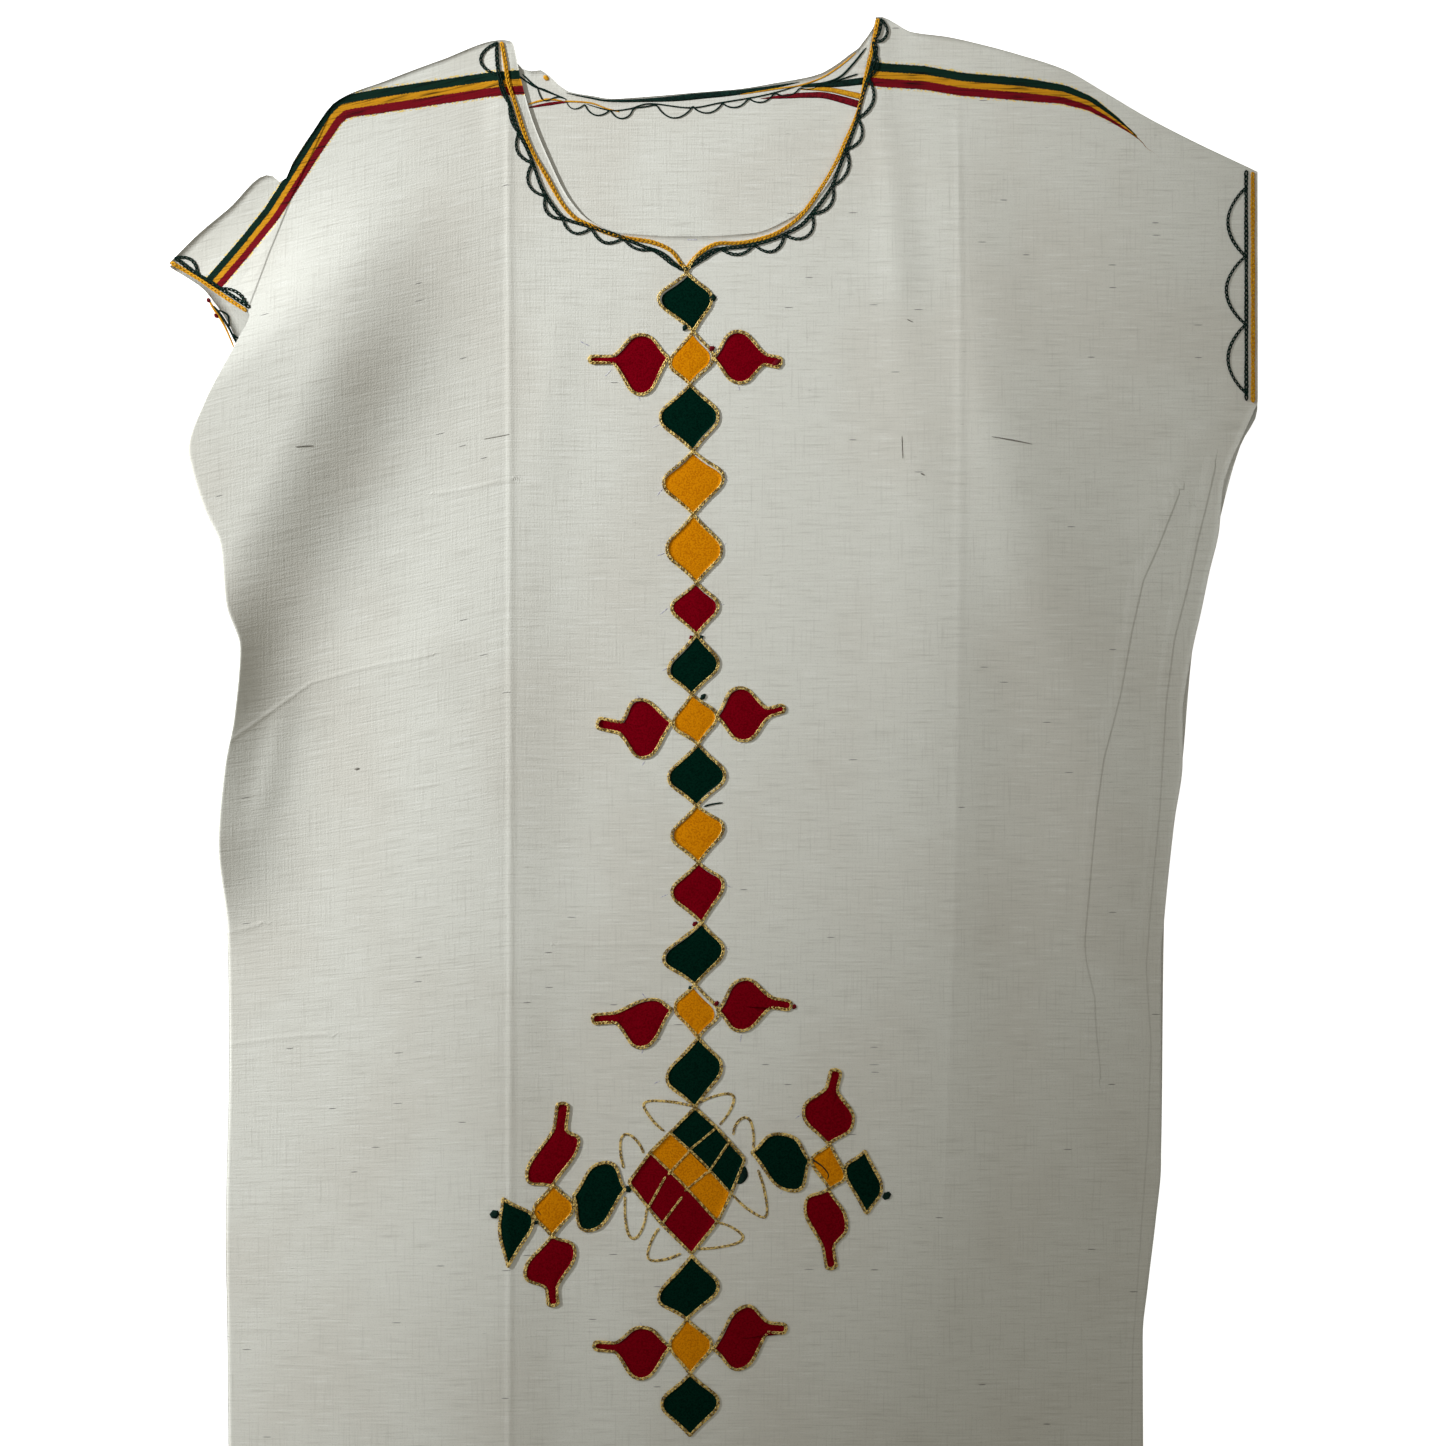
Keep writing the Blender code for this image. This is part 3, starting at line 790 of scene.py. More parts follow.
yellow_thread = thread_material("yellow thread", YELLOW_THREAD, (0.520, 0.220, 0.008), 0.85)
green_thread = thread_material("green thread", GREEN_THREAD, (0.0010, 0.0085, 0.0060), 0.80)
red_thread = thread_material("red thread", RED_THREAD, (0.09, 0.001, 0.005), 0.85)
# On the gold thread the pale colour and the dark one alternate in short dashes: painted glints and
# painted shade
gold_thread = thread_material(
    "gold thread", GOLD_THREAD_GLINT, (0.200, 0.118, 0.026), 0.42, metallic=0.12, grain=620.0,
)


def even_steps(path, spacing):
    """The same path at even steps of its length."""
    run = np.concatenate([[0.0], np.cumsum(np.hypot(*np.diff(path, axis=0).T))])
    at = np.linspace(0, run[-1], max(2, round(run[-1] / spacing)) + 1)
    return np.stack([np.interp(at, run, path[:, 0]), np.interp(at, run, path[:, 1])], -1)


def smooth_path(points, spacing):
    """A rounded line through a few points, at even steps of its length.

    Between two points runs a cubic whose slope at each point is half the way
    from the point before to the point after.
    """
    p = np.array(points, float)
    before, after = np.roll(p, 1, axis=0), np.roll(p, -1, axis=0)
    before[0], after[-1] = p[0], p[-1]
    slope = (after - before) / 2
    q = np.linspace(0, 1, 12, endpoint=False)[:, None, None]
    curve = (
        (1 + 2 * q) * (1 - q) ** 2 * p[:-1] + q * (1 - q) ** 2 * slope[:-1]
        + q**2 * (3 - 2 * q) * p[1:] + q**2 * (q - 1) * slope[1:]
    )
    curve = np.concatenate([curve.transpose(1, 0, 2).reshape(-1, 2), p[-1:]])
    return even_steps(curve, spacing)


def chain_stitch(name, paths, width, thread, material, raised=0.0):
    """Chain stitches along paths on the front, as one mesh.

    Each link is a closed ring of thread. Its middle line is a flat loop, a
    third longer than the step and narrower towards its end, and a small square
    section, pressed to three fifths of its height, is carried round it. Links
    differ a little in width and turn, by sines of their number.
    """
    starts = np.concatenate([path[:-1] for path in paths])
    ends = np.concatenate([path[1:] for path in paths])
    number = np.arange(len(starts))
    middle, reach = (starts + ends) / 2, ends - starts
    length = np.hypot(*reach.T)
    angle = np.arctan2(reach[:, 1], reach[:, 0]) + LINK_VARIES * np.sin(number * 7.31)
    broad = (1 + LINK_VARIES * np.sin(number * 12.99))[:, None, None]
    ahead = np.stack([np.cos(angle), np.sin(angle)], -1)[:, :, None, None]
    side = np.stack([-np.sin(angle), np.cos(angle)], -1)[:, :, None, None]
    turn = (2 * np.pi * np.arange(LINK_POINTS) / LINK_POINTS)[:, None]
    around = (2 * np.pi * (np.arange(LINK_SIDES) + 0.5) / LINK_SIDES)[None]
    forth = length[:, None, None] * LINK_HALF * np.cos(turn)
    forth = forth + thread / 2 * np.cos(around) * np.cos(turn)
    open_half = (width - thread) / 2 * (1 - LINK_TAPER * np.cos(turn)) + thread / 2 * np.cos(around)
    sideways = broad * open_half * np.sin(turn)
    a = middle[:, 0, None, None] + ahead[:, 0] * forth + side[:, 0] * sideways
    d = middle[:, 1, None, None] + ahead[:, 1] * forth + side[:, 1] * sideways
    ground = front_height(middle[:, 0], middle[:, 1])[:, None, None] + raised
    z = ground + thread * (0.22 + LINK_HIGH * np.sin(around) + 0.13 * np.cos(turn))
    i, j = np.meshgrid(np.arange(LINK_POINTS), np.arange(LINK_SIDES), indexing="ij")
    i2, j2 = (i + 1) % LINK_POINTS, (j + 1) % LINK_SIDES
    ring = [i * LINK_SIDES + j, i2 * LINK_SIDES + j, i2 * LINK_SIDES + j2, i * LINK_SIDES + j2]
    ring = np.stack(ring, -1).reshape(-1, 4)
    faces = (ring[None] + (number * LINK_POINTS * LINK_SIDES)[:, None, None]).reshape(-1, 4)
    add_piece(name, laid(a, d, z), faces.tolist(), material)


# Points across and down along the neck, from the right shoulder to the left
NECK_YELLOW = (
    (-113, 16), (-111, 27), (-109, 40), (-105, 52), (-99, 71), (-93, 84),
    (-85, 98), (-77, 112), (-69, 121), (-61, 125), (-52, 129), (-43, 132),
    (-31, 134), (-21, 136), (-11, 141), (-3, 151), (1, 147), (6, 142),
    (12, 138), (18, 136), (28, 136), (41, 134), (54, 129), (67, 119),
    (78, 104), (87, 89), (93, 76), (99, 62), (103, 50), (106, 34), (109, 21),
    (113, 2),
)
NECK_GREEN = (
    (-116, 16), (-116, 23), (-115, 33), (-112, 43), (-109, 50), (-107, 56),
    (-103, 69), (-98, 79), (-94, 89), (-89, 103), (-83, 113), (-76, 121),
    (-64, 125), (-51, 129), (-40, 133), (-28, 138), (-17, 142), (-4, 152),
    (6, 145), (15, 140), (32, 138), (49, 134), (64, 127), (71, 121), (84, 104),
    (89, 92), (94, 79), (100, 63), (103, 50), (107, 37), (111, 24), (110, 15),
    (113, 11), (115, 2),
)
# Loops of the scalloped line: where each starts and ends along the green line,
# measured from the shoulder, and how far it stands out
SCALLOPS_RIGHT = (
    (0, 19, 10), (19, 38, 1.5), (38, 56, 2), (56, 76, 6), (76, 97, 6.5), (97, 114, 5),
    (114, 132, 6.5), (132, 152, 6.5), (152, 170, 3), (170, 190, 1.5),
)
SCALLOPS_LEFT = (
    (0, 14, 5), (14, 22, 1.5), (22, 37, 3), (37, 62, 7), (62, 82, 6), (82, 105, 5.5),
    (105, 126, 5.5), (126, 147, 7.5), (147, 166, 7), (166, 186, 4.5), (186, 208, 2),
)
SLEEVE_RIGHT_YELLOW = ((-311, 148), (-296, 157), (-280, 168), (-265, 178))
SLEEVE_RIGHT_GREEN = ((-309, 145), (-293, 157), (-283, 163), (-275, 168), (-263, 176))
SLEEVE_RIGHT_SCALLOPS = ((0, 17, 5), (17, 34, 1), (34, 54, 3.5))
SLEEVE_LEFT_YELLOW = ((338, 94), (338, 140), (338, 190), (338, 231))
SLEEVE_LEFT_GREEN = ((334, 93), (334, 140), (334, 190), (334, 230))
SLEEVE_LEFT_SCALLOPS = ((10, 51, 11), (51, 92, 12), (92, 133, 11))
YELLOW_LINK = 2.6
GREEN_LINK = 3.0
SCALLOP_LINK = 2.7


def scalloped(base, loops, side):
    """A line in loops along another: a half wave of sine over each loop.

    The wave's height is the loop's, and its share of a loop is eased by a
    power of 0.8, so that the loops are full and meet in points.
    """
    steps = even_steps(base, 1.0)
    tangent = np.gradient(steps, axis=0)
    tangent /= np.hypot(*tangent.T)[:, None]
    outwards = side * np.stack([-tangent[:, 1], tangent[:, 0]], -1)
    measure = np.arange(len(steps), dtype=float)
    out = np.zeros(len(steps))
    for start, end, height in loops:
        share = np.clip((measure - start) / (end - start), 0, 1)
        out += height * np.sin(np.pi * share) ** 0.8
    line = steps + outwards * out[:, None]
    inside = (measure >= loops[0][0]) & (measure <= loops[-1][1])
    return even_steps(line[inside], SCALLOP_LINK)


green_neck = smooth_path(NECK_GREEN, 1.0)
lowest = int(np.argmax(green_neck[:, 1]))
green_sleeves = [smooth_path(path, 1.0) for path in (SLEEVE_RIGHT_GREEN, SLEEVE_LEFT_GREEN)]
yellow_lines = (NECK_YELLOW, SLEEVE_RIGHT_YELLOW, SLEEVE_LEFT_YELLOW)
chain_stitch(
    "yellow_edge_chain", [smooth_path(line, YELLOW_LINK) for line in yellow_lines],
    width=3.1, thread=1.6, material=yellow_thread,
)
chain_stitch(
    "green_edge_chain", [even_steps(path, GREEN_LINK) for path in [green_neck] + green_sleeves],
    width=2.8, thread=1.25, material=green_thread, raised=0.3,
)
chain_stitch(
    "green_scallops",
    [
        scalloped(green_neck[:lowest + 1], SCALLOPS_RIGHT, 1),
        scalloped(green_neck[lowest:][::-1], SCALLOPS_LEFT, -1),
        scalloped(green_sleeves[0], SLEEVE_RIGHT_SCALLOPS, -1),
        scalloped(green_sleeves[1], SLEEVE_LEFT_SCALLOPS, 1),
    ],
    width=2.3, thread=1.0, material=green_thread, raised=0.2,
)

# Inside the neck the back's own trims show: the woven band where it comes over
# the shoulder, its turned edge, and the wrong side of the stitching, which is
# single thin threads.
STRIP_SIDES = 6
STRIP_SINK = 0.25
STRIP_STEP = 1.2


def strips(name, rows, material, ground=None):
    """Narrow strips and threads laid on the cloth, as one mesh.

    Each row holds points across and down, widths spread evenly along them, and
    a thickness. A flat oval, as wide and thick as that, is carried along the
    rounded line and comes to a point at both ends. It lies on the front, or on
    a level ground, sunk in by a quarter of its thickness.
    """
    turn = 2 * np.pi * np.arange(STRIP_SIDES) / STRIP_SIDES
    points, faces, first = [], [], 0
    for route, widths, thick in rows:
        line = smooth_path(route, STRIP_STEP)
        count = len(line)
        share = np.linspace(0, 1, count)
        wide = np.interp(share, np.linspace(0, 1, len(widths)), widths) / 2
        ends = np.sqrt(np.clip(1 - (2 * share - 1) ** 8, 0, 1)) + 0.02
        tangent = np.gradient(line, axis=0)
        tangent /= np.hypot(*tangent.T)[:, None] + 1e-9
        side = np.stack([-tangent[:, 1], tangent[:, 0]], -1)
        sideways = (wide * ends)[:, None] * np.cos(turn)
        a = line[:, :1] + side[:, :1] * sideways
        d = line[:, 1:] + side[:, 1:] * sideways
        base = front_height(a, d) if ground is None else np.full(a.shape, float(ground))
        z = base + thick * (0.5 - STRIP_SINK) + thick / 2 * ends[:, None] * np.sin(turn)
        points.append(laid(a, d, z))
        k, j = np.meshgrid(np.arange(count - 1), np.arange(STRIP_SIDES), indexing="ij")
        j2 = (j + 1) % STRIP_SIDES
        near, far = k * STRIP_SIDES, (k + 1) * STRIP_SIDES
        wall = np.stack([near + j, far + j, far + j2, near + j2], -1).reshape(-1, 4)
        cap = np.arange(STRIP_SIDES)
        faces += (wall[:, ::-1] + first).tolist()
        faces.append((first + cap).tolist()[::-1])
        faces.append((first + (count - 1) * STRIP_SIDES + cap).tolist())
        first += count * STRIP_SIDES
    add_piece(name, np.concatenate(points), faces, material)


# In every table of strips: points across and down, widths, thickness
BACK_GREEN = (
    (((-75, 45.5), (-60, 48.5), (-47, 50.3), (-18, 49.5), (6, 47.4), (36, 44.3), (66, 39)),
     (0.9, 1.2, 2.0, 3.6, 3.4, 2.4, 1.0), 0.5),
    (((-104, 34.5), (-94, 41.5), (-88, 43.5), (-78, 48)), (1.0, 1.1, 1.1, 1.0), 0.8),
    (((-101, 34), (-92, 42), (-80, 47), (-74, 49.5)), (1.0, 1.0, 1.0, 1.0), 0.8),
    (((-92, 42), (-88, 50), (-80, 48), (-75, 49)), (0.9, 0.9, 0.9, 0.9), 0.8),
    (((110, 37.5), (90, 40), (80, 40.6), (66, 41)), (4.6, 4.0, 3.2, 1.0), 0.5),
    (((106, 18), (98, 28), (90, 36), (80, 40), (66, 42)), (1.2, 1.2, 1.3, 2.2, 1.2), 0.9),
    (((101, 34), (92, 37), (84, 40)), (1.0, 1.0, 1.0), 0.9),
    (((-63, 52), (-48, 56), (-36, 55), (-24, 52), (0, 54.5), (18, 51.5), (44, 47), (66, 41)),
     (0.9, 0.9, 0.9, 0.9, 0.9, 0.9, 0.9, 0.9), 0.8),
)
BACK_YELLOW = (
    (((-88, 35), (-85, 38)), (2.6, 2.6), 0.7),
    (((-76, 50.5), (-60, 51.5), (-50, 55), (-42, 57)), (1.2, 1.0, 0.9, 0.9), 0.6),
    (((-98, 52.5), (-86, 49.5), (-76, 50.5)), (0.8, 1.6, 0.8), 0.5),
    (((30, 46.5), (52, 43), (66, 41), (80, 36), (92, 28), (100, 21)),
     (0.9, 1.0, 1.0, 1.0, 1.0, 0.9), 0.5),
    (((110, 49.5), (88, 44.3), (78, 43.2), (66, 43.5)), (4.0, 3.4, 2.6, 0.6), 0.5),
)
BACK_RED = (
    (((-98, 54.5), (-84, 52), (-70, 50.5)), (0.9, 2.0, 0.7), 0.5),
    (((110, 55), (84, 47.6), (72, 46.8), (60, 47.4), (42, 49)), (5.0, 4.2, 3.6, 2.8, 0.6), 0.5),
)
# Loops of the thin thread along the back's neck: start, end, depth
BACK_LOOPS = (
    (0, 12, 4.5), (12, 28, 5), (28, 42, 5), (42, 56, 1), (56, 78, 7.5), (78, 96, 4.5),
    (96, 112, 4), (112, 128, 4), (128, 144, 3.5), (144, 156, 2),
)
BACK_LOOP_LINE = (
    (-75, 49), (-62, 52.6), (-42, 56), (-24, 52.5), (6, 53.5), (36, 48.5), (57, 44), (80, 40),
)
looped = scalloped(smooth_path(BACK_LOOP_LINE, 1.0), BACK_LOOPS, 1)
BACK_GREEN += ((looped.tolist(), (0.95, 0.95), 0.9),)
strips("back_neck_green", BACK_GREEN, green_thread, BACK_FACE)
strips("back_neck_yellow", BACK_YELLOW, yellow_thread, BACK_FACE)
strips("back_neck_red", BACK_RED, red_thread, BACK_FACE)

# Where the right sleeve's hem turns back, the back's hem shows below it with
# the wrong side of its stitching.
UNDER_GREEN = (
    (((-287, 173), (-282, 179), (-277, 187), (-274, 193), (-271, 198)), (1.4, 1.4, 1.5, 1.3, 1.2), 1.0),
    (((-284, 176), (-280, 177.5), (-277.5, 180), (-277, 187)), (1.1, 1.1, 1.1, 1.1), 1.0),
    (((-277, 187), (-275, 190.5), (-269.5, 194.5)), (1.1, 1.1, 1.0), 1.0),
)
UNDER_YELLOW = (
    (((-290, 168), (-287, 174), (-280, 185), (-273.5, 200)), (1.2, 1.6, 1.2, 0.9), 0.6),
)
UNDER_RED = (
    (((-290.5, 169), (-288, 171.5)), (2.6, 2.4), 1.3),
    (((-286, 178), (-283.5, 181)), (2.2, 2.2), 1.2),
)
strips("sleeve_back_green", UNDER_GREEN, green_thread, BACK_FACE)
strips("sleeve_back_yellow", UNDER_YELLOW, yellow_thread, BACK_FACE)
strips("sleeve_back_red", UNDER_RED, red_thread, BACK_FACE)

# The chain down the centre front is a column of lozenges, each filled close
# with thick soft thread. Two chains of gold metal thread sway down both sides
# of them and cross between them.
FIELD_RINGS = 7
FIELD_RIM = 0.45
FIELD_DOME = 0.5
FIELD_SINK = 0.2
FILL_INSET = 0.8
# How side lines leave their tips and run through their corners: for a
# lozenge, a leaf, and the round fields beside the great lozenge
LOZENGE_SIDES = (0.62, 0.17)
LEAF_SIDES = (0.48, 0.26)
ROUND_SIDES = (0.42, 0.36)
TAIL_CORNER = 1.2
# colour, upper crossing, right corner, left corner, shift of the filling
CHAIN = (
    ("green", (-2, 154), (-19, 170), (13, 169), (1.2, 0.6)),
    ("yellow", (2, 189), (-12, 208), (14, 205), (-1.2, 0.3)),
    ("green", (0, 221), (-18, 241), (17, 240), (-0.5, -0.5)),
    ("yellow", (2, 261), (-16, 280), (20, 277), (-0.2, 1.0)),
    ("yellow", (2, 299), (-14, 320), (19, 320), (0.3, 0.0)),
    ("red", (4, 340), (-11, 355), (17, 354), (-0.6, 0.4)),
    ("green", (4, 371), (-13, 392), (17, 389), (0.6, 0.3)),
    ("yellow", (1, 407), (-10, 425), (16, 420), (0.1, -0.4)),
    ("green", (5, 437), (-13, 457), (21, 456), (-0.2, -0.6)),
    ("yellow", (4, 474), (-11, 492), (20, 487), (0.5, 0.0)),
    ("red", (5, 508), (-11, 526), (20, 521), (0.0, 0.4)),
    ("green", (7, 544), (-16, 565), (20, 561), (0.7, 0.2)),
    ("yellow", (3, 581), (-9, 595), (17, 598), (-1.6, 0.9)),
    ("green", (5, 613), (-14, 637), (19, 631), (0.0, -0.3)),
)
CHAIN_FOOT = (3, 655)
LOWER_CHAIN = (
    ("green", (1, 744), (-19, 769), (17, 763), (0.3, 0.0)),
    ("yellow", (-2, 782), (-12, 798), (13, 797), (0.0, 0.0)),
    ("green", (0, 815), (-17, 833), (17, 832), (0.0, 0.3)),
)
LOWER_FOOT = (0, 852)


def fill_material(name, colour, dark):
    """Close fuzzy filling: short strands of thread with a soft nap."""
    material, shader = shader_material(name, (*colour, 1.0), 0.95)
    tree = material.node_tree
    nap = object_noise(tree, 1000.0, 3.0)
    tone = blend(tree, step(tree, nap, 0.34, 0.60), dark, colour)
    tree.links.new(tone, shader.inputs["Base Color"])
    add_relief(tree, shader, nap, 0.7, 0.0004)
    shader.inputs["Specular IOR Level"].default_value = 0.0
    return material


fills = {
    "green": fill_material("green filling", (0.0010, 0.0170, 0.0100), (0.0004, 0.0080, 0.0048)),
    "yellow": fill_material("yellow filling", (0.690, 0.245, 0.002), (0.510, 0.150, 0.001)),
    "red": fill_material("red filling", (0.195, 0.0005, 0.0065), (0.125, 0.0002, 0.0035)),
}


def side_line(tip, side, foot, bends=LOZENGE_SIDES):
    """From one tip round a side corner to the other tip, in two cubic arcs.

    Each arc leaves its tip straight towards the corner, for the first share of
    the way. It runs through the corner along the line between the tips, for
    the second share of that line.
    """
    straight, round_off = bends
    tip, side, foot = (np.array(p, float) for p in (tip, side, foot))
    axis = foot - tip
    q = np.linspace(0, 1, 9)[:, None]
    upper = (tip, tip + straight * (side - tip), side - round_off * axis, side)
    lower = (side, side + round_off * axis, foot + straight * (side - foot), foot)
    arcs = [
        (1 - q) ** 3 * a + 3 * q * (1 - q) ** 2 * b + 3 * q**2 * (1 - q) * c + q**3 * d
        for a, b, c, d in (upper, lower)
    ]
    return np.concatenate([arcs[0], arcs[1][1:]])


def field_outline(tip, right, foot, left, bends=LOZENGE_SIDES):
    """A closed outline through two tips and two rounded corners."""
    back = side_line(tip, left, foot, bends)[::-1]
    return np.concatenate([side_line(tip, right, foot, bends), back[1:-1]])


def leaf_outline(tip, right, foot, left, tail, tail_width):
    """A closed outline of a round leaf whose tail runs on from its foot.

    Both side lines end half the tail's width beside the foot, and the strip
    between them runs on to the tail's end, where its corners are cut.
    """
    foot, tail = np.array(foot, float), np.array(tail, float)
    along = (tail - foot) / np.hypot(*(tail - foot))
    beside = np.array([along[1], -along[0]]) * tail_width / 2
    if np.dot(beside, np.array(right, float) - foot) < 0:
        beside = -beside
    corner = tail - along * TAIL_CORNER
    out = side_line(tip, right, foot + beside, LEAF_SIDES)
    back = side_line(tip, left, foot - beside, LEAF_SIDES)[::-1]
    return np.concatenate([out, [corner + beside, tail, corner - beside], back[:-1]])


def drawn_in(outline, middle, inset, shift=(0.0, 0.0)):
    """An outline drawn in towards a middle by a fixed measure, and shifted."""
    out = outline - middle
    size = np.hypot(*out.T)[:, None]
    return middle + out * np.clip(size - inset, 0.2, None) / size + np.array(shift)


def filled_field(name, node, colour, outline, middle):
    """A raised field of filling, made from the front cloth's own points.

    Rings of the outline, each drawn in further to its middle, take the cloth's
    height. They rise by a rim, and then by a dome that is one less the fourth
    power of the ring's size. The underside repeats the rings in the cloth.
    """
    count = len(outline)
    size = np.linspace(1, 0, FIELD_RINGS + 1)[:-1]
    rings = middle + (outline[None] - middle) * size[:, None, None]
    flat = np.concatenate([rings.reshape(-1, 2), np.array(middle, float)[None]])
    ground = front_height(flat[:, 0], flat[:, 1])
    dome = np.concatenate([np.repeat(1 - size**4, count), [1.0]])
    lower = laid(flat[:, 0], flat[:, 1], ground - FIELD_SINK)
    upper = laid(flat[:, 0], flat[:, 1], ground + FIELD_RIM + FIELD_DOME * dome)
    layer = len(flat)
    k, i = np.meshgrid(np.arange(FIELD_RINGS - 1), np.arange(count), indexing="ij")
    i2 = (i + 1) % count
    bands = [k * count + i, k * count + i2, (k + 1) * count + i2, (k + 1) * count + i]
    bands = np.stack(bands, -1).reshape(-1, 4)
    rim = np.arange(count)
    ahead = np.roll(rim, -1)
    inner = (FIELD_RINGS - 1) * count
    cap = np.stack([inner + rim, inner + ahead, np.full(count, layer - 1)], -1)
    wall = np.stack([rim, rim + layer, ahead + layer, ahead], -1)
    faces = (bands[:, ::-1].tolist() + (bands + layer).tolist() + cap[:, ::-1].tolist()
             + (cap + layer).tolist() + wall.tolist())
    x, y = outline.T
    if np.sum(x * np.roll(y, -1) - y * np.roll(x, -1)) > 0:
        faces = [face[::-1] for face in faces]
    field = add_piece(name, np.concatenate([lower, upper]), faces, fills[colour])
    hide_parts(node)


def chain_column(rows, foot, first_number):
    """Fields of one column of the chain, and the two gold lines beside them.

    The two lines change sides at every crossing.
    """
    tips = [row[1] for row in rows] + [foot]
    sides = ([], [])
    for k, (colour, tip, right, left, shift) in enumerate(rows):
        outline = field_outline(tip, right, tips[k + 1], left)
        middle = (np.array(tip, float) + tips[k + 1] + right + left) / 4
        number = first_number + k
        filled_field(
            f"chain_field_{number:02d}", f"chain_{number:02d}_{colour}", colour,
            drawn_in(outline, middle, FILL_INSET, shift), middle + shift,
        )
        swap = k % 2
        sides[swap].append(side_line(tip, right, tips[k + 1])[:-1])
        sides[1 - swap].append(side_line(tip, left, tips[k + 1])[:-1])
    return [np.concatenate(side + [np.array([foot], float)]) for side in sides]


GOLD_LINK = 2.2
gold_lines = chain_column(CHAIN, CHAIN_FOOT, 1) + chain_column(LOWER_CHAIN, LOWER_FOOT, 15)
gold_lines.append(np.array([(-2, 154), (1, 148), (5, 143)], float))
gold_lines.append(np.array([(-2, 154), (-4, 150)], float))

# Two red leaves stand out at each cross of the chain, on its right and left.
# Each has a round body, and a short tail with a loop of gold at its end.
# name, inner tip, upper corner, outer tip, lower corner, tail's end, its width
LEAVES = (
    ("leaf_1_right", (-13, 205), (-29, 191), (-46, 206), (-29, 227), (-61, 206), 4.0),
    ("leaf_1_left", (14, 205), (28, 189), (45, 206), (29, 220), (55, 208), 6.0),
    ("leaf_2_right", (-11, 424), (-30, 410), (-42, 427), (-27, 445), (-56, 424), 6.4),
    ("leaf_2_left", (16, 420), (29, 403), (47, 418), (32, 435), (57, 415), 4.6),
    ("leaf_3_right", (-11, 596), (-24, 590), (-45, 601), (-28, 619), (-59, 602), 5.4),
    ("leaf_3_left", (17, 597), (31, 578), (49, 592), (31, 609), (61, 594), 5.6),
    ("leaf_4_right", (-12, 799), (-28, 787), (-45, 799), (-29, 818), (-58, 798), 5.0),
    ("leaf_4_left", (14, 800), (31, 775), (47, 787), (31, 812), (58, 788), 5.6),
)
LEAF_SHIFT = (0.4, 0.3)
for name, inner, upper, outer, lower, tail, tail_width in LEAVES:
    middle = (np.array(inner, float) + upper + outer + lower) / 4
    outline = leaf_outline(inner, upper, outer, lower, tail, tail_width)
    filling = drawn_in(outline, middle, FILL_INSET, LEAF_SHIFT)
    filled_field(name.replace("leaf", "leaf_field"), name, "red", filling, middle + LEAF_SHIFT)
    gold_lines.append(np.concatenate([outline, outline[:1]]))

# The great lozenge of the hem cross is worked in three slanting bands, edged
# and crossed with gold chain, and open loops of gold stand round it.
MEDALLION_BANDS = {
    "green": ((3, 655), (33, 686), (24, 706), (-12, 670)),
    "yellow": ((-12, 670), (24, 706), (16, 723), (-24, 682)),
    "red": ((-24, 682), (16, 723), (1, 743), (-37, 700)),
}
BAND_BOW = 0.8
BAND_INSET = 0.5
for colour, corners in MEDALLION_BANDS.items():
    corners = np.array(corners, float)
    middle = corners.mean(axis=0)
    share = np.linspace(0, 1, 10, endpoint=False)[None, :, None]
    outline = corners[:, None] * (1 - share) + np.roll(corners, -1, axis=0)[:, None] * share
    out = outline - middle
    bow = 1 + BAND_BOW * np.sin(np.pi * share) / np.hypot(out[..., 0], out[..., 1])[..., None]
    outline = (middle + out * bow).reshape(-1, 2)
    filled_field(
        f"medallion_field_{colour}", f"medallion_{colour}", colour,
        drawn_in(outline, middle, BAND_INSET), middle,
    )
MEDALLION_EDGE = (
    (3, 655), (16, 667), (33, 686), (25, 706), (17, 723), (1, 743), (-19, 723), (-37, 700),
    (-24, 682), (-12, 670), (3, 655),
)
gold_lines.append(np.array(MEDALLION_EDGE, float))
# Fine lines between the bands and across them
MEDALLION_LINES = (
    ((-12, 670), (6, 686), (24, 706)), ((-24, 682), (-5, 700), (16, 723)),
    ((16, 667), (-1, 681)), ((24, 675), (11, 694)),
    ((-1, 682), (-13, 695)), ((10, 694), (-3, 705)),
    ((-15, 697), (-25, 715)), ((-5, 709), (-17, 725)),
)
# root, other root and tip of each open loop
LOOPS = (
    ((1, 654), (-16, 669), (-28, 653)), ((6, 652), (18, 665), (26, 648)),
    ((26, 671), (38, 679), (33, 661)), ((41, 693), (26, 708), (45, 721)),
    ((16, 724), (5, 740), (32, 733)), ((-19, 728), (-6, 743), (-25, 746)),
    ((-39, 709), (-26, 716), (-34, 734)), ((-28, 682), (-40, 691), (-39, 671)),
)
LOOP_HALF = 3.6
LOOP_SHOULDER = 0.84
LOOP_LINK = 2.1


def open_loop(root, other_root, tip):
    """A loop of thread from one root out to a rounded tip and to the other.

    Two shoulders stand a little before the tip, half a loop's width to each
    side of the line from the roots' middle to the tip.
    """
    root, other_root, tip = (np.array(p, float) for p in (root, other_root, tip))
    base = (root + other_root) / 2
    axis = (tip - base) / np.hypot(*(tip - base))
    side = np.array([-axis[1], axis[0]]) * LOOP_HALF
    if np.dot(side, root - other_root) < 0:
        side = -side
    reach = np.hypot(*(tip - base))
    first = base + axis * reach * LOOP_SHOULDER + side
    last = base + axis * reach * LOOP_SHOULDER - side
    rising, falling = (root + first) / 2 + side / 4, (other_root + last) / 2 - side / 4
    return smooth_path([root, rising, first, tip, last, falling, other_root], LOOP_LINK)


